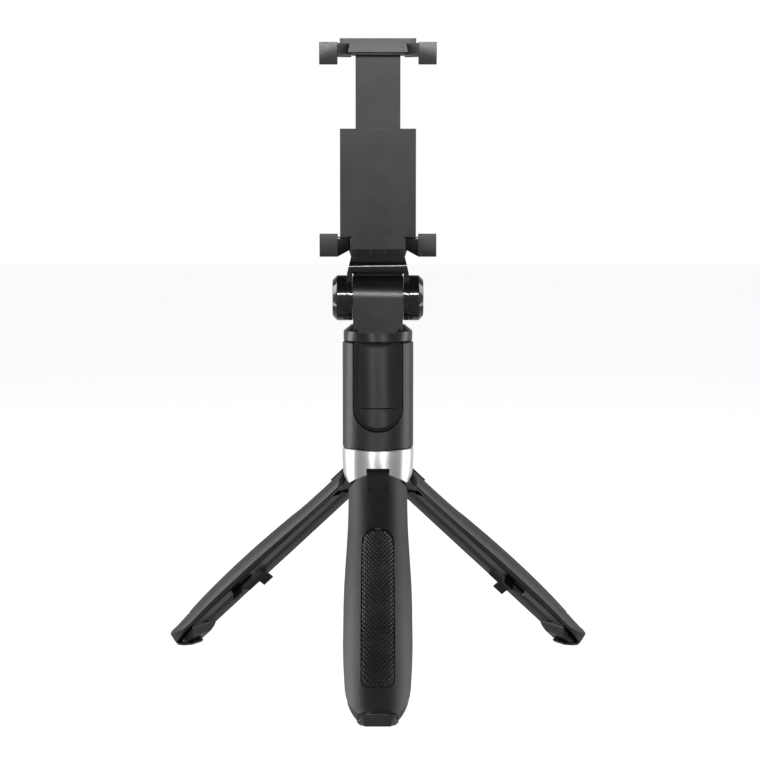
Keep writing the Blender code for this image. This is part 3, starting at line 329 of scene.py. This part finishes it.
def merged_copy(node, name):
    """A clean copy of a solid, whose triangles share their corners."""
    work = bmesh.new()
    work.from_mesh(nodes[node].data)
    bmesh.ops.remove_doubles(work, verts=work.verts, dist=0.002 * MM)
    bmesh.ops.recalc_face_normals(work, faces=work.faces)
    work.verts.ensure_lookup_table()
    points = [v.co.copy() for v in work.verts]
    faces = [[v.index for v in f.verts] for f in work.faces]
    work.free()
    mesh = bpy.data.meshes.new(name)
    mesh.from_pydata(points, [], faces)
    mesh.update()
    return link(bpy.data.objects.new(name, mesh))


def stand_for(piece, *replaced, body=None, slot=None):
    """Give a piece its finish, its body and the solids that it stands for."""
    slot = slot or SLOT_OF[replaced[0]]
    piece.data.materials.clear()
    piece.data.materials.append(FINISHES[slot])
    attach(piece, body or BODY_OF[replaced[0]])
    if replaced:
        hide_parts(*replaced)
    return piece


# %% [markdown]
# The radius follows the piece, and the table gives it in millimetres: 0.4 on the clamp that a
# phone slides over, a tenth on a thin tube.

# %% Round the edges of the visible solids
EDGE_RADII = {
    0.40: ["clamp_base", "upper_jaw", "neck_block"],
    0.30: ["head_sleeve", "clamp_cover"],
    0.22: ["leg_shell_front", "leg_shell_left", "leg_shell_right", "remote_back", "remote_front",
           "shutter_button", "head_core", "hub_core", "tilt_yoke"],
    0.15: ["hub_ring", "leg_foot_front", "leg_foot_left", "leg_foot_right", "leg_clip_front",
           "leg_clip_left", "leg_clip_right", "foot_pad_front", "foot_pad_left",
           "foot_pad_right"],
    0.10: ["leg_liner_front", "leg_liner_left", "leg_liner_right", "outer_tube", "tube_2",
           "tube_3", "tube_4", "tube_5", "tube_plug"],
}
for radius, members in EDGE_RADII.items():
    for node in members:
        copy = merged_copy(node, f"{node}_finished")
        stand_for(rounded(copy, radius * MM), node)
print(sum(map(len, EDGE_RADII.values())), "solids with rounded edges")

# %% [markdown]
# ## Geometry Nodes for what repeats
# A grip has hundreds of studs, a pad has ribs, and screws come in sets. One Geometry Nodes tree
# each makes them from a few named sizes. A modifier's inputs are set before the object is first
# evaluated, and the result is turned into a plain mesh, because instances don't travel.


# %% Helpers for the trees
def new_tree(name, inputs):
    """An empty Geometry Nodes tree with named inputs; gives its graph, its inputs and its end."""
    tree = bpy.data.node_groups.new(name, "GeometryNodeTree")
    face = tree.interface
    face.new_socket("Geometry", in_out="INPUT", socket_type="NodeSocketGeometry")
    for label, kind in inputs.items():
        face.new_socket(label, in_out="INPUT", socket_type=f"NodeSocket{kind}")
    face.new_socket("Geometry", in_out="OUTPUT", socket_type="NodeSocketGeometry")
    graph = Graph(tree)
    start = tree.nodes.new("NodeGroupInput")
    given = {socket.name: Wire(graph, socket) for socket in start.outputs if socket.name}
    return graph, given, tree.nodes.new("NodeGroupOutput")


def end_tree(graph, end, instances, material):
    """End a tree with real geometry that has its material."""
    real = graph.add("GeometryNodeRealizeInstances", None, {"Geometry": instances})
    done = graph.add("GeometryNodeSetMaterial", None, {"Geometry": real, "Material": material})
    graph.tree.links.new(done.socket, end.inputs["Geometry"])


def grow(carrier, graph, values, name):
    """Run a tree on a carrier and give what it makes as a plain mesh object."""
    modifier = carrier.modifiers.new(name, "NODES")
    modifier.node_group = graph.tree
    for item in graph.tree.interface.items_tree:
        if item.in_out == "INPUT" and item.name in values:
            modifier[item.identifier] = values[item.name]
    view = bpy.context.evaluated_depsgraph_get()
    mesh = bpy.data.meshes.new_from_object(carrier.evaluated_get(view))
    carrier.modifiers.remove(modifier)
    return link(bpy.data.objects.new(name, mesh))


def mesh_object(name, points, faces=()):
    """A mesh object from corners and faces."""
    mesh = bpy.data.meshes.new(name)
    mesh.from_pydata(points, [], list(faces))
    mesh.update()
    return link(bpy.data.objects.new(name, mesh))


# %% [markdown]
# ## The studded grips
# Each leg has a rubber inlay with rows of diamond studs, which the thumb feels. They could be a
# bump texture, but a stud is half a millimetre high and shows on the outline from the side, so
# they are real. First the inlay itself: a strip that follows the back of the leg, round at the
# top and squarer at the foot. The solid of the inlay says where it starts and ends and how the
# leg swells, so a smooth curve is fitted through its own points.

# %% Measure an inlay
STUD_HEIGHT = 0.50 * MM
INLAY_THICK = 0.55 * MM
END_SHARE = 0.6             # the foot end's rounding, as a share of the half width
CURVE_DEGREE = 5


def inlay_shape(side):
    """Start, end, half width and the curve of the radius, in the leg's own frame."""
    place, reach = LEG_FRAMES[side]
    inverse = place.inverted()
    downs, radii, arcs = [], [], []
    for vertex in nodes[f"leg_grip_{side}"].data.vertices:
        point = inverse @ vertex.co
        radial = reach - point.y
        downs.append(-point.z)
        radii.append(math.hypot(point.x, radial))
        arcs.append(radii[-1] * math.atan2(abs(point.x), radial))
    downs, radii = np.array(downs), np.array(radii)
    outer = [radii[np.abs(downs - d) < 0.1 * MM].max() for d in downs]
    curve = np.polyfit(downs, outer, CURVE_DEGREE)
    return downs.min(), downs.max(), max(arcs), curve


def inlay_point(side, curve, arc, down, sink):
    """A point at an arc length from the leg's middle, sunk below the inlay's outside."""
    place, reach = LEG_FRAMES[side]
    radius = float(np.polyval(curve, down)) - sink
    angle = arc / radius
    return place @ Vector((radius * math.sin(angle), reach - radius * math.cos(angle), -down))


start, end, half, _ = inlay_shape("front")
print(f"inlay {(end - start) / MM:.1f} mm long and {2 * half / MM:.1f} mm wide")

# %% Build the strips
ROWS, COLUMNS = 72, 12
TIP_CUT = 0.12 * MM         # off both tips, where the strip would have no width


def inlay_width(down, start, end, half):
    """Half the strip's width there: a half circle at the start, a flatter curve at the end."""
    near = min((down - start) / half, 1.0)
    far = min((end - down) / (half * END_SHARE), 1.0)
    share = min(near, far)
    return half * math.sqrt(max(1 - (1 - share) ** 2, 0.0))


def inlay_strip(side, sink, inset, name):
    """An open strip with a UV map that is 0 to 1 over the inlay's full width and length."""
    start, end, half, curve = inlay_shape(side)
    low, high, wide = start + inset, end - inset, half - inset
    turns = np.linspace(0, math.pi, ROWS + 1)
    downs = [low + (high - low) * (1 - math.cos(t)) / 2 for t in turns]
    downs[0] += TIP_CUT
    downs[-1] -= TIP_CUT
    points, spots = [], []
    for down in downs:
        width = inlay_width(down, low, high, wide)
        for step in range(COLUMNS + 1):
            arc = width * (2 * step / COLUMNS - 1)
            points.append(inlay_point(side, curve, arc, down, sink))
            spots.append((arc / (2 * half) + 0.5, (down - start) / (end - start)))
    span = COLUMNS + 1
    faces = [(a, a + 1, a + 1 + span, a + span)
             for row in range(ROWS) for a in range(row * span, row * span + COLUMNS)]
    strip = mesh_object(name, points, faces)
    layer = strip.data.uv_layers.new(name="UVMap")
    for loop in strip.data.loops:
        layer.data[loop.index].uv = spots[loop.vertex_index]
    middle = strip.data.polygons[len(faces) // 2]
    outward = middle.center - Vector((AXIS.x, AXIS.y, middle.center.z))
    if middle.normal.dot(outward) < 0:
        strip.data.flip_normals()
    strip.data.shade_smooth()
    return strip


# %% [markdown]
# The tree lays a flat lattice, moves every second row by half a stud, and looks each point up on
# the strip by its UV. Points that fall off the strip's round ends are dropped. A stud is a cone
# with four sides, so its foot is a diamond, and neighbouring diamonds nearly touch.

# %% The tree for the studs
ROW_SHIFT = 1000.25         # lifts the row numbers above zero; the quarter steadies the rounding
DIAMOND_ACROSS, DIAMOND_ALONG = 0.46, 0.92      # half a foot's diagonals, as shares of the steps
STUD_TOP = 0.24             # a stud's top, as a share of its foot

graph, given, tree_end = new_tree("stud_field", {
    "Width": "Float", "Length": "Float", "Across": "Float", "Along": "Float",
    "Height": "Float", "Run": "Vector", "Material": "Material"})
across, along = given["Across"], given["Along"]
columns = (given["Width"] / across).floor() + 2
rows = (given["Length"] / along).floor() + 1
lattice = graph.add("GeometryNodeMeshGrid", None, {
    "Size X": (columns - 1) * across, "Size Y": (rows - 1) * along,
    "Vertices X": columns, "Vertices Y": rows})
here = graph.add("GeometryNodeInputPosition")
split = graph.add("ShaderNodeSeparateXYZ", None, {0: here})
x, y = split.out("X"), split.out("Y")
odd = (y / along + ROW_SHIFT).floor() % 2
shifted = x + (odd - 0.5) * across * 0.5
target = graph.vector(shifted / given["Width"] + 0.5, y / given["Length"] + 0.5, 0.0)
VECTORS = {"data_type": "FLOAT_VECTOR"}
uv_map = graph.add("GeometryNodeInputNamedAttribute", VECTORS, {"Name": "UVMap"})


def on_strip(value):
    """What the strip has at the place that the lattice point is looked up at."""
    return graph.add("GeometryNodeSampleUVSurface", VECTORS, {
        "Mesh": given["Geometry"], "Value": value, "UV Map": uv_map, "Sample UV": target})


spot = on_strip(here)
facing = on_strip(graph.add("GeometryNodeInputNormal"))
kept = graph.add("GeometryNodeStoreNamedAttribute", {**VECTORS, "domain": "POINT"},
                 {"Geometry": lattice, "Name": "facing", "Value": facing})
points = graph.add("GeometryNodeMeshToPoints", None, {
    "Mesh": kept, "Selection": spot.out("Is Valid"), "Position": spot})
facing = graph.add("GeometryNodeInputNamedAttribute", VECTORS, {"Name": "facing"})
upright = graph.add("FunctionNodeAlignRotationToVector", {"axis": "Z"}, {"Vector": facing})
aligned = graph.add("FunctionNodeAlignRotationToVector", {"axis": "Y", "pivot_axis": "Z"},
                    {"Rotation": upright, "Vector": given["Run"]})
stud = graph.add("GeometryNodeMeshCone", None, {
    "Vertices": 4, "Radius Top": STUD_TOP, "Radius Bottom": 1.0, "Depth": 1.0})
stud = graph.add("GeometryNodeSetShadeSmooth", None, {"Geometry": stud, "Shade Smooth": False})
studs = graph.add("GeometryNodeInstanceOnPoints", None, {
    "Points": points, "Instance": stud, "Rotation": aligned,
    "Scale": graph.vector(across * DIAMOND_ACROSS, along * DIAMOND_ALONG, given["Height"])})
end_tree(graph, tree_end, studs, given["Material"])
stud_field = graph

# %% Make the three grips
STUD_ACROSS = 1.45 * MM
STUD_ALONG = 1.05 * MM
BARE_EDGE = 0.55 * MM       # of the inlay, all round the studs
for side in SIDES:
    start, end, half, _ = inlay_shape(side)
    carrier = inlay_strip(side, STUD_HEIGHT, BARE_EDGE, "stud_carrier")
    studs = grow(carrier, stud_field, {
        "Width": 2 * half, "Length": end - start, "Across": STUD_ACROSS, "Along": STUD_ALONG,
        "Height": STUD_HEIGHT, "Run": LEG_FRAMES[side][0].to_3x3() @ Vector((0, 0, 1)),
        "Material": FINISHES["rubber"]}, f"grip_studs_{side}")
    bpy.data.objects.remove(carrier)
    stand_for(studs, body=f"leg_{side}", slot="rubber")
    strip = inlay_strip(side, STUD_HEIGHT, 0.0, f"grip_inlay_{side}")
    wall = strip.modifiers.new("thickness", "SOLIDIFY")
    wall.thickness = INLAY_THICK
    wall.offset = -1.0
    applied(strip)
    stand_for(rounded(strip, 0.15 * MM, 2, 50), f"leg_grip_{side}")
print(len(studs.data.polygons), "faces in the studs of one grip")

# %% [markdown]
# ## The tilt caps
# The phone clamp tilts between two polished discs with a wide chamfer. They mirror the lights as
# thin lines, and a facet would break those lines, so a disc is turned afresh with a fine spin
# instead of copied. The outer face has a shallow dish, and inside is the pocket for the bolt.

# %% Turn a cap from its profile
CAP_STEPS = 128
BOLT_ROOM = 4.2 * MM        # radius of the pocket in a cap
POCKET_DEPTH = 3.2 * MM
CAP_GAP = 0.04 * MM         # between a cap and the yoke
tilt_pivot = Vector(joints["clamp_tilt"]["pos_m"])


def turned(name, profile, centre):
    """Spin a (radius, distance along X) profile once round X."""
    points, faces, rings = [], [], []
    for radius, along_x in profile:
        count = CAP_STEPS if radius > 0 else 1
        rings.append([len(points) + k for k in range(count)] * (CAP_STEPS // count))
        for k in range(count):
            angle = 2 * math.pi * k / CAP_STEPS
            points.append((along_x, centre.y + radius * math.cos(angle),
                           centre.z + radius * math.sin(angle)))
    for a, b in zip(rings, rings[1:]):
        for k in range(CAP_STEPS):
            m = (k + 1) % CAP_STEPS
            corners = list(dict.fromkeys((a[k], a[m], b[m], b[k])))
            faces.append(corners)
    return faced_outwards(mesh_object(name, points, faces))


yoke_low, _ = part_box("tilt_yoke")
for side in ("left", "right"):
    node = f"tilt_cap_{side}"
    low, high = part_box(node)
    outer, inner = (low.x, high.x) if side == "left" else (high.x, low.x)
    inward = 1 if side == "left" else -1
    inner = inward * (yoke_low.x - CAP_GAP)
    radius = (high.z - low.z) / 2
    steps = [(0, 0.35), (5.3, 0.35), (5.7, 0.0), (radius / MM - 1.8, 0.0), (radius / MM, 1.8)]
    profile = [(r * MM, outer + inward * d * MM) for r, d in steps]
    pocket_floor = inner - inward * POCKET_DEPTH
    profile += [(radius, inner), (BOLT_ROOM, inner), (BOLT_ROOM, pocket_floor), (0, pocket_floor)]
    stand_for(rounded(turned(f"{node}_turned", profile, tilt_pivot), 0.28 * MM), node)
print("two turned caps")

# %% [markdown]
# ## What closes the tilt joint
# Between the block on the head and the cheeks of the clamp sit two thin washers, and over the
# block runs a friction rib of the clamp. Both are a guess at how the joint holds its angle, and
# without them the light would shine through it. The rib is narrow, so that it stays on the round
# of the block when the clamp lies flat.

# %% Washers and friction rib
WASHER_HOLE = 4.3 * MM
HAIR = 0.05 * MM
TIGHT = 0.3 * MM            # between the block and a cheek
FRICTION_RIB_HALF = 1.3 * MM
RIB_GAP = 0.1 * MM          # between the friction rib and the block
block = nodes["neck_block"].data.vertices
near_pivot = [v.co for v in block if abs(v.co.z - tilt_pivot.z) < 1 * MM]
block_half = max(abs(point.x) for point in near_pivot)
block_radius = tilt_pivot.y - min(point.y for point in near_pivot)
cheek_inside = block_half + TIGHT
WASHER_RADIUS = block_radius - HAIR
for side, way in (("left", -1), ("right", 1)):
    near, far = way * (block_half + HAIR), way * (cheek_inside - HAIR)
    profile = [(WASHER_HOLE, near), (WASHER_RADIUS, near), (WASHER_RADIUS, far),
               (WASHER_HOLE, far), (WASHER_HOLE, near)]
    washer = turned(f"friction_washer_{side}", profile, tilt_pivot)
    stand_for(washer, body="clamp", slot="gloss_black")
roof = min(v.co.z for v in nodes["tilt_yoke"].data.vertices
           if v.co.z > tilt_pivot.z + block_radius and abs(v.co.y - tilt_pivot.y) < 20 * MM)
rib_top = roof - tilt_pivot.z - HAIR
rib_foot = block_radius + RIB_GAP
edge_angle = math.asin(FRICTION_RIB_HALF / rib_foot)
section = [(-FRICTION_RIB_HALF, rib_top), (FRICTION_RIB_HALF, rib_top)]
section += [(rib_foot * math.sin(angle), rib_foot * math.cos(angle))
            for angle in np.linspace(edge_angle, -edge_angle, 7)]
count = len(section)
ends = [(x, tilt_pivot.y + y, tilt_pivot.z + z)
        for x in (-block_half, block_half) for y, z in section]
walls = [(k, (k + 1) % count, count + (k + 1) % count, count + k) for k in range(count)]
caps = [tuple(reversed(range(count))), tuple(range(count, 2 * count))]
friction_rib = faced_outwards(mesh_object("friction_rib", ends, walls + caps))
stand_for(friction_rib, body="clamp", slot="gloss_black")
print(f"friction rib {(roof - tilt_pivot.z - rib_foot) / MM:.2f} mm high under the yoke")

# %% [markdown]
# ## Small screws
# Two screws hold the clamp's cover, and one in the groove of each leg holds its inner side. They
# are the same shape at different sizes, so one screw head is modelled, with a domed top and a
# cross recess cut by a Boolean, and a tree sets it on points that carry the way it faces.

# %% One screw head
def screw_head():
    """A head one unit in radius, with its seat at the origin and its top along +Z."""
    profile = [(0.0, 0.5), (0.35, 0.47), (0.7, 0.36), (0.93, 0.16), (1.0, 0.0), (1.0, -0.2),
               (0.0, -0.2)]
    steps = 32
    work = bmesh.new()
    rings = [[work.verts.new((r * math.cos(2 * math.pi * k / steps),
                              r * math.sin(2 * math.pi * k / steps), z))
              for k in range(steps if r > 0 else 1)] * (1 if r > 0 else steps) for r, z in profile]
    for a, b in zip(rings, rings[1:]):
        for k in range(steps):
            m = (k + 1) % steps
            corners = list(dict.fromkeys((a[k], a[m], b[m], b[k])))
            work.faces.new(corners)
    bmesh.ops.recalc_face_normals(work, faces=work.faces)
    mesh = bpy.data.meshes.new("screw_head")
    work.to_mesh(mesh)
    work.free()
    head = link(bpy.data.objects.new("screw_head", mesh))
    for index, (wide, deep) in enumerate(((1.1, 0.22), (0.22, 1.1))):
        corners = [(sx * wide / 2, sy * deep / 2, z) for z in (0.12, 1.0)
                   for sx, sy in ((-1, -1), (1, -1), (1, 1), (-1, 1))]
        walls = [(0, 1, 5, 4), (1, 2, 6, 5), (2, 3, 7, 6), (3, 0, 4, 7)]
        blade = mesh_object(f"blade_{index}", corners, [(3, 2, 1, 0), (4, 5, 6, 7), *walls])
        cutter = head.modifiers.new("recess", "BOOLEAN")
        cutter.operation = "DIFFERENCE"
        cutter.object = blade
        applied(head)
        bpy.data.objects.remove(blade)
    return rounded(head, 0.04, 1, 30)


head = screw_head()
print(len(head.data.polygons), "faces in one screw head")

# %% The tree that sets screws on points
graph, given, tree_end = new_tree("screws_on_points", {
    "Head": "Object", "Radius": "Float", "Material": "Material"})
aim = graph.add("GeometryNodeInputNamedAttribute", VECTORS, {"Name": "aim"})
upright = graph.add("FunctionNodeAlignRotationToVector", {"axis": "Z"}, {"Vector": aim})
shape = graph.add("GeometryNodeObjectInfo", {"transform_space": "ORIGINAL"},
                  {"Object": given["Head"]}).out("Geometry")
set_points = graph.add("GeometryNodeMeshToPoints", None, {"Mesh": given["Geometry"]})
screws = graph.add("GeometryNodeInstanceOnPoints", None, {
    "Points": set_points, "Instance": shape, "Rotation": upright,
    "Scale": graph.vector(given["Radius"], given["Radius"], given["Radius"])})
end_tree(graph, tree_end, screws, given["Material"])
screw_tree = graph


def screws_at(name, places, aim_at, radius):
    """Screw heads at places, all facing one way."""
    carrier = mesh_object(f"{name}_points", places)
    layer = carrier.data.attributes.new("aim", "FLOAT_VECTOR", "POINT")
    for item in layer.data:
        item.vector = aim_at
    made = grow(carrier, screw_tree, {"Head": head, "Radius": radius,
                                      "Material": FINISHES["steel"]}, name)
    bpy.data.objects.remove(carrier)
    return made


# %% Set the screws
COVER_SCREW_RADIUS = 1.7 * MM
COVER_SCREW_SEAT = 0.35 * MM         # outside the cover
LEG_SCREW_RADIUS = 1.35 * MM
LEG_SCREW_DOWN = 79 * MM             # pivot to the screw, along the leg
LEG_SCREW_LIFT = 0.05 * MM           # off the groove, towards the pole
GROOVE_GAP = 0.35 * MM               # between the pole and the groove of a folded leg
_, cover_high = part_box("clamp_cover")
places = []
for side in ("left", "right"):
    low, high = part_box(f"cover_screw_{side}")
    places.append(((low.x + high.x) / 2, cover_high.y + COVER_SCREW_SEAT, (low.z + high.z) / 2))
covers = screws_at("cover_screw_heads", places, (0, 1, 0), COVER_SCREW_RADIUS)
stand_for(covers, "cover_screw_left", "cover_screw_right")
groove_radius = (pole_high.x - pole_low.x) / 2 + GROOVE_GAP
for side in SIDES:
    place, reach = LEG_FRAMES[side]
    spot = place @ Vector((0, reach - groove_radius + LEG_SCREW_LIFT, -LEG_SCREW_DOWN))
    inward = place.to_3x3() @ Vector((0, 1, 0))
    screw = screws_at(f"leg_screw_{side}", [spot], inward, LEG_SCREW_RADIUS)
    stand_for(screw, body=f"leg_{side}", slot="steel")
bpy.data.objects.remove(head)
print("two cover screws and three leg screws")

# %% [markdown]
# ## Ribbed pads
# The four rubber pads that hold the phone's edges have small ribs across them, so that a smooth
# case doesn't slide out. The pad is copied a little thinner and the ribs give the height back.
# A tree lays the ribs along a line, which is shorter than modelling each one.

# %% The tree that lays ribs along a line
graph, given, tree_end = new_tree("ribs_on_a_line", {
    "Start": "Vector", "Step": "Vector", "Count": "Int", "Radius": "Float",
    "Rib Length": "Float", "Material": "Material"})
line = graph.add("GeometryNodeMeshLine", {"mode": "OFFSET"}, {
    "Count": given["Count"], "Start Location": given["Start"], "Offset": given["Step"]})
bar = graph.add("GeometryNodeMeshCylinder", None, {
    "Vertices": 12, "Radius": given["Radius"], "Depth": given["Rib Length"]})
ribs = graph.add("GeometryNodeInstanceOnPoints", None, {
    "Points": line, "Instance": bar, "Rotation": (0.0, math.pi / 2, 0.0)})
end_tree(graph, tree_end, ribs, given["Material"])
rib_tree = graph

# %% Make the pads
PAD_RIB_RADIUS = 0.3 * MM
PAD_RIB_PITCH = 1.0 * MM
PAD_RIB_LENGTH = 5.4 * MM
PAD_RIB_INSET = 0.35 * MM            # pad's outer edge to the ends of its ribs
PAD_END_MARGIN = 0.5 * MM            # pad's end to the middle of its first rib
for jaw, up in (("lower", 1), ("upper", -1)):
    for side in ("left", "right"):
        node = f"{jaw}_pad_{side}"
        low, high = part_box(node)
        pad = merged_copy(node, f"{node}_finished")
        seat = high.z if up > 0 else low.z
        for vertex in pad.data.vertices:
            if abs(vertex.co.z - seat) < 0.1 * MM:
                vertex.co.z -= up * PAD_RIB_RADIUS
        stand_for(rounded(pad, 0.1 * MM), node)
        outer_x = high.x if side == "right" else low.x
        inward = -1 if side == "right" else 1
        count = int((high.y - low.y - 2 * PAD_END_MARGIN) / PAD_RIB_PITCH) + 1
        first = (outer_x + inward * (PAD_RIB_LENGTH / 2 + PAD_RIB_INSET),
                 low.y + PAD_END_MARGIN, seat - up * PAD_RIB_RADIUS)
        holder = mesh_object("rib_holder", [first])
        ribs = grow(holder, rib_tree, {
            "Start": first, "Step": (0, PAD_RIB_PITCH, 0), "Count": count, "Radius": PAD_RIB_RADIUS,
            "Rib Length": PAD_RIB_LENGTH, "Material": FINISHES["rubber"]}, f"{jaw}_pad_ribs_{side}")
        bpy.data.objects.remove(holder)
        ribs.data.shade_smooth()
        ribs.data.set_sharp_from_angle(angle=math.radians(50))
        stand_for(ribs, body=BODY_OF[node], slot="rubber")
print(count, "ribs on each pad")

# %% [markdown]
# ## The springs that pull the jaw
# Two springs join the clamp to the upper jaw, so they get longer and shorter as the jaw slides. A
# rigid spring would poke through the jaw. Each here is a smooth copy of its solid with the steel
# finish, put where the solid was; it stays rigid and is tied to neither body.

# %% Copy the springs
for side in ("left", "right"):
    node = f"jaw_spring_{side}"
    low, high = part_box(node)
    coil = merged_copy(node, f"{node}_stretching")
    coil.data.shade_smooth()
    coil.data.materials.append(FINISHES["steel"])
    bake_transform(coil)
    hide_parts(node)

# %% [markdown]
# ## The solids that stay
# Pins, bolts, bushes and what is inside the remote control are right as they are. They keep their
# solids and get a finish.

# %% Finishes for the solids that are not replaced
for node, solid in nodes.items():
    solid.data.materials.clear()
    solid.data.materials.append(FINISHES[SLOT_OF[node]])
print("all solids have a finish")

# %% [markdown]
# ## Camera, lights and floor
# The camera stands a little above the middle of the stick and looks slightly down, with a long
# lens, so that upright edges stay nearly upright. Black plastic shows nothing but what it mirrors:
# two tall softboxes stand at the sides and a little behind, so that the curves are dark in the
# middle and grey towards their edges. A strip above the camera draws the lines on the caps, and
# two thin ones make the bars on the ring. The floor is pale and the room behind is white.

# %% The camera
bpy.context.scene.view_settings.view_transform = "Standard"
LOOK_HEIGHT = 113.7 * MM
LOOK_ASIDE = 0.8 * MM
DISTANCE = 0.8
ELEVATION = math.radians(4.75)
camera_data = bpy.data.cameras.new("camera")
camera_data.lens = 97.0
camera_data.sensor_width = 36.0
camera = link(bpy.data.objects.new("camera", camera_data))
look_at = Vector((AXIS.x + LOOK_ASIDE, AXIS.y, LOOK_HEIGHT))
back = Vector((0, -math.cos(ELEVATION), math.sin(ELEVATION)))
camera.location = look_at + back * DISTANCE
camera.rotation_euler = (-back).to_track_quat("-Z", "Y").to_euler()
bpy.context.scene.camera = camera
print("camera", [round(v, 3) for v in camera.location])


# %% The lights
AIM_HEIGHT = 0.12


def softbox(name, place, size, power, colour=(1, 1, 1)):
    """A rectangular light that faces the middle of the stick."""
    data = bpy.data.lights.new(name, "AREA")
    data.shape = "RECTANGLE"
    data.size, data.size_y = size
    data.energy = power
    data.color = colour
    lamp = link(bpy.data.objects.new(name, data))
    lamp.location = place
    aim_at = Vector((AXIS.x, AXIS.y, AIM_HEIGHT)) - Vector(place)
    lamp.rotation_euler = aim_at.to_track_quat("-Z", "Y").to_euler()
    return lamp


softbox("left_softbox", (-0.85, 0.25, 0.30), (0.35, 1.1), 7.0)
softbox("right_softbox", (0.85, 0.25, 0.30), (0.35, 1.1), 5.0)
softbox("upper_strip", (0.0, -1.15, 0.62), (0.9, 0.07), 11.0)
softbox("left_strip", (-0.42, -1.18, 0.25), (0.12, 0.9), 3.2)
softbox("right_strip", (0.40, -1.18, 0.25), (0.12, 0.9), 2.6)

# %% The room
world = bpy.data.worlds.new("studio")
bpy.context.scene.world = world
world.use_nodes = True
graph = Graph(world.node_tree)
for node in list(world.node_tree.nodes):
    world.node_tree.nodes.remove(node)
way = graph.add("ShaderNodeTexCoord").out("Generated")
split = graph.add("ShaderNodeSeparateXYZ", None, {0: way})
behind = graph.ramp(split.out("Y") * 0.5 + 0.5, 0.45, 0.90)
above = graph.ramp(split.out("Z"), 0.15, 0.75)
strength = (1 - above) * (0.24 + behind * 0.28) + 0.01
room = graph.add("ShaderNodeBackground", None, {"Color": (1, 1, 1, 1), "Strength": strength})
white = graph.add("ShaderNodeBackground", None, {"Color": (1, 1, 1, 1), "Strength": 1.0})
seen = graph.add("ShaderNodeLightPath").out("Is Camera Ray")
both = graph.add("ShaderNodeMixShader", None, {0: seen, 1: room, 2: white})
out = world.node_tree.nodes.new("ShaderNodeOutputWorld")
world.node_tree.links.new(both.socket, out.inputs["Surface"])

# %% The floor
FLOOR_HALF = 6.0
floor = mesh_object("floor", [(-FLOOR_HALF, -FLOOR_HALF, 0), (FLOOR_HALF, -FLOOR_HALF, 0),
                              (FLOOR_HALF, FLOOR_HALF, 0), (-FLOOR_HALF, FLOOR_HALF, 0)],
                    [(0, 1, 2, 3)])
pale, graph, shader = new_finish("pale_floor", {"Base Color": (0.30, 0.30, 0.30, 1.0),
                                                "Roughness": 0.7, "Emission Strength": 0.90,
                                                "Emission Color": (1, 1, 1, 1)})
floor.data.materials.append(pale)
floor.visible_glossy = False
print("floor and room")
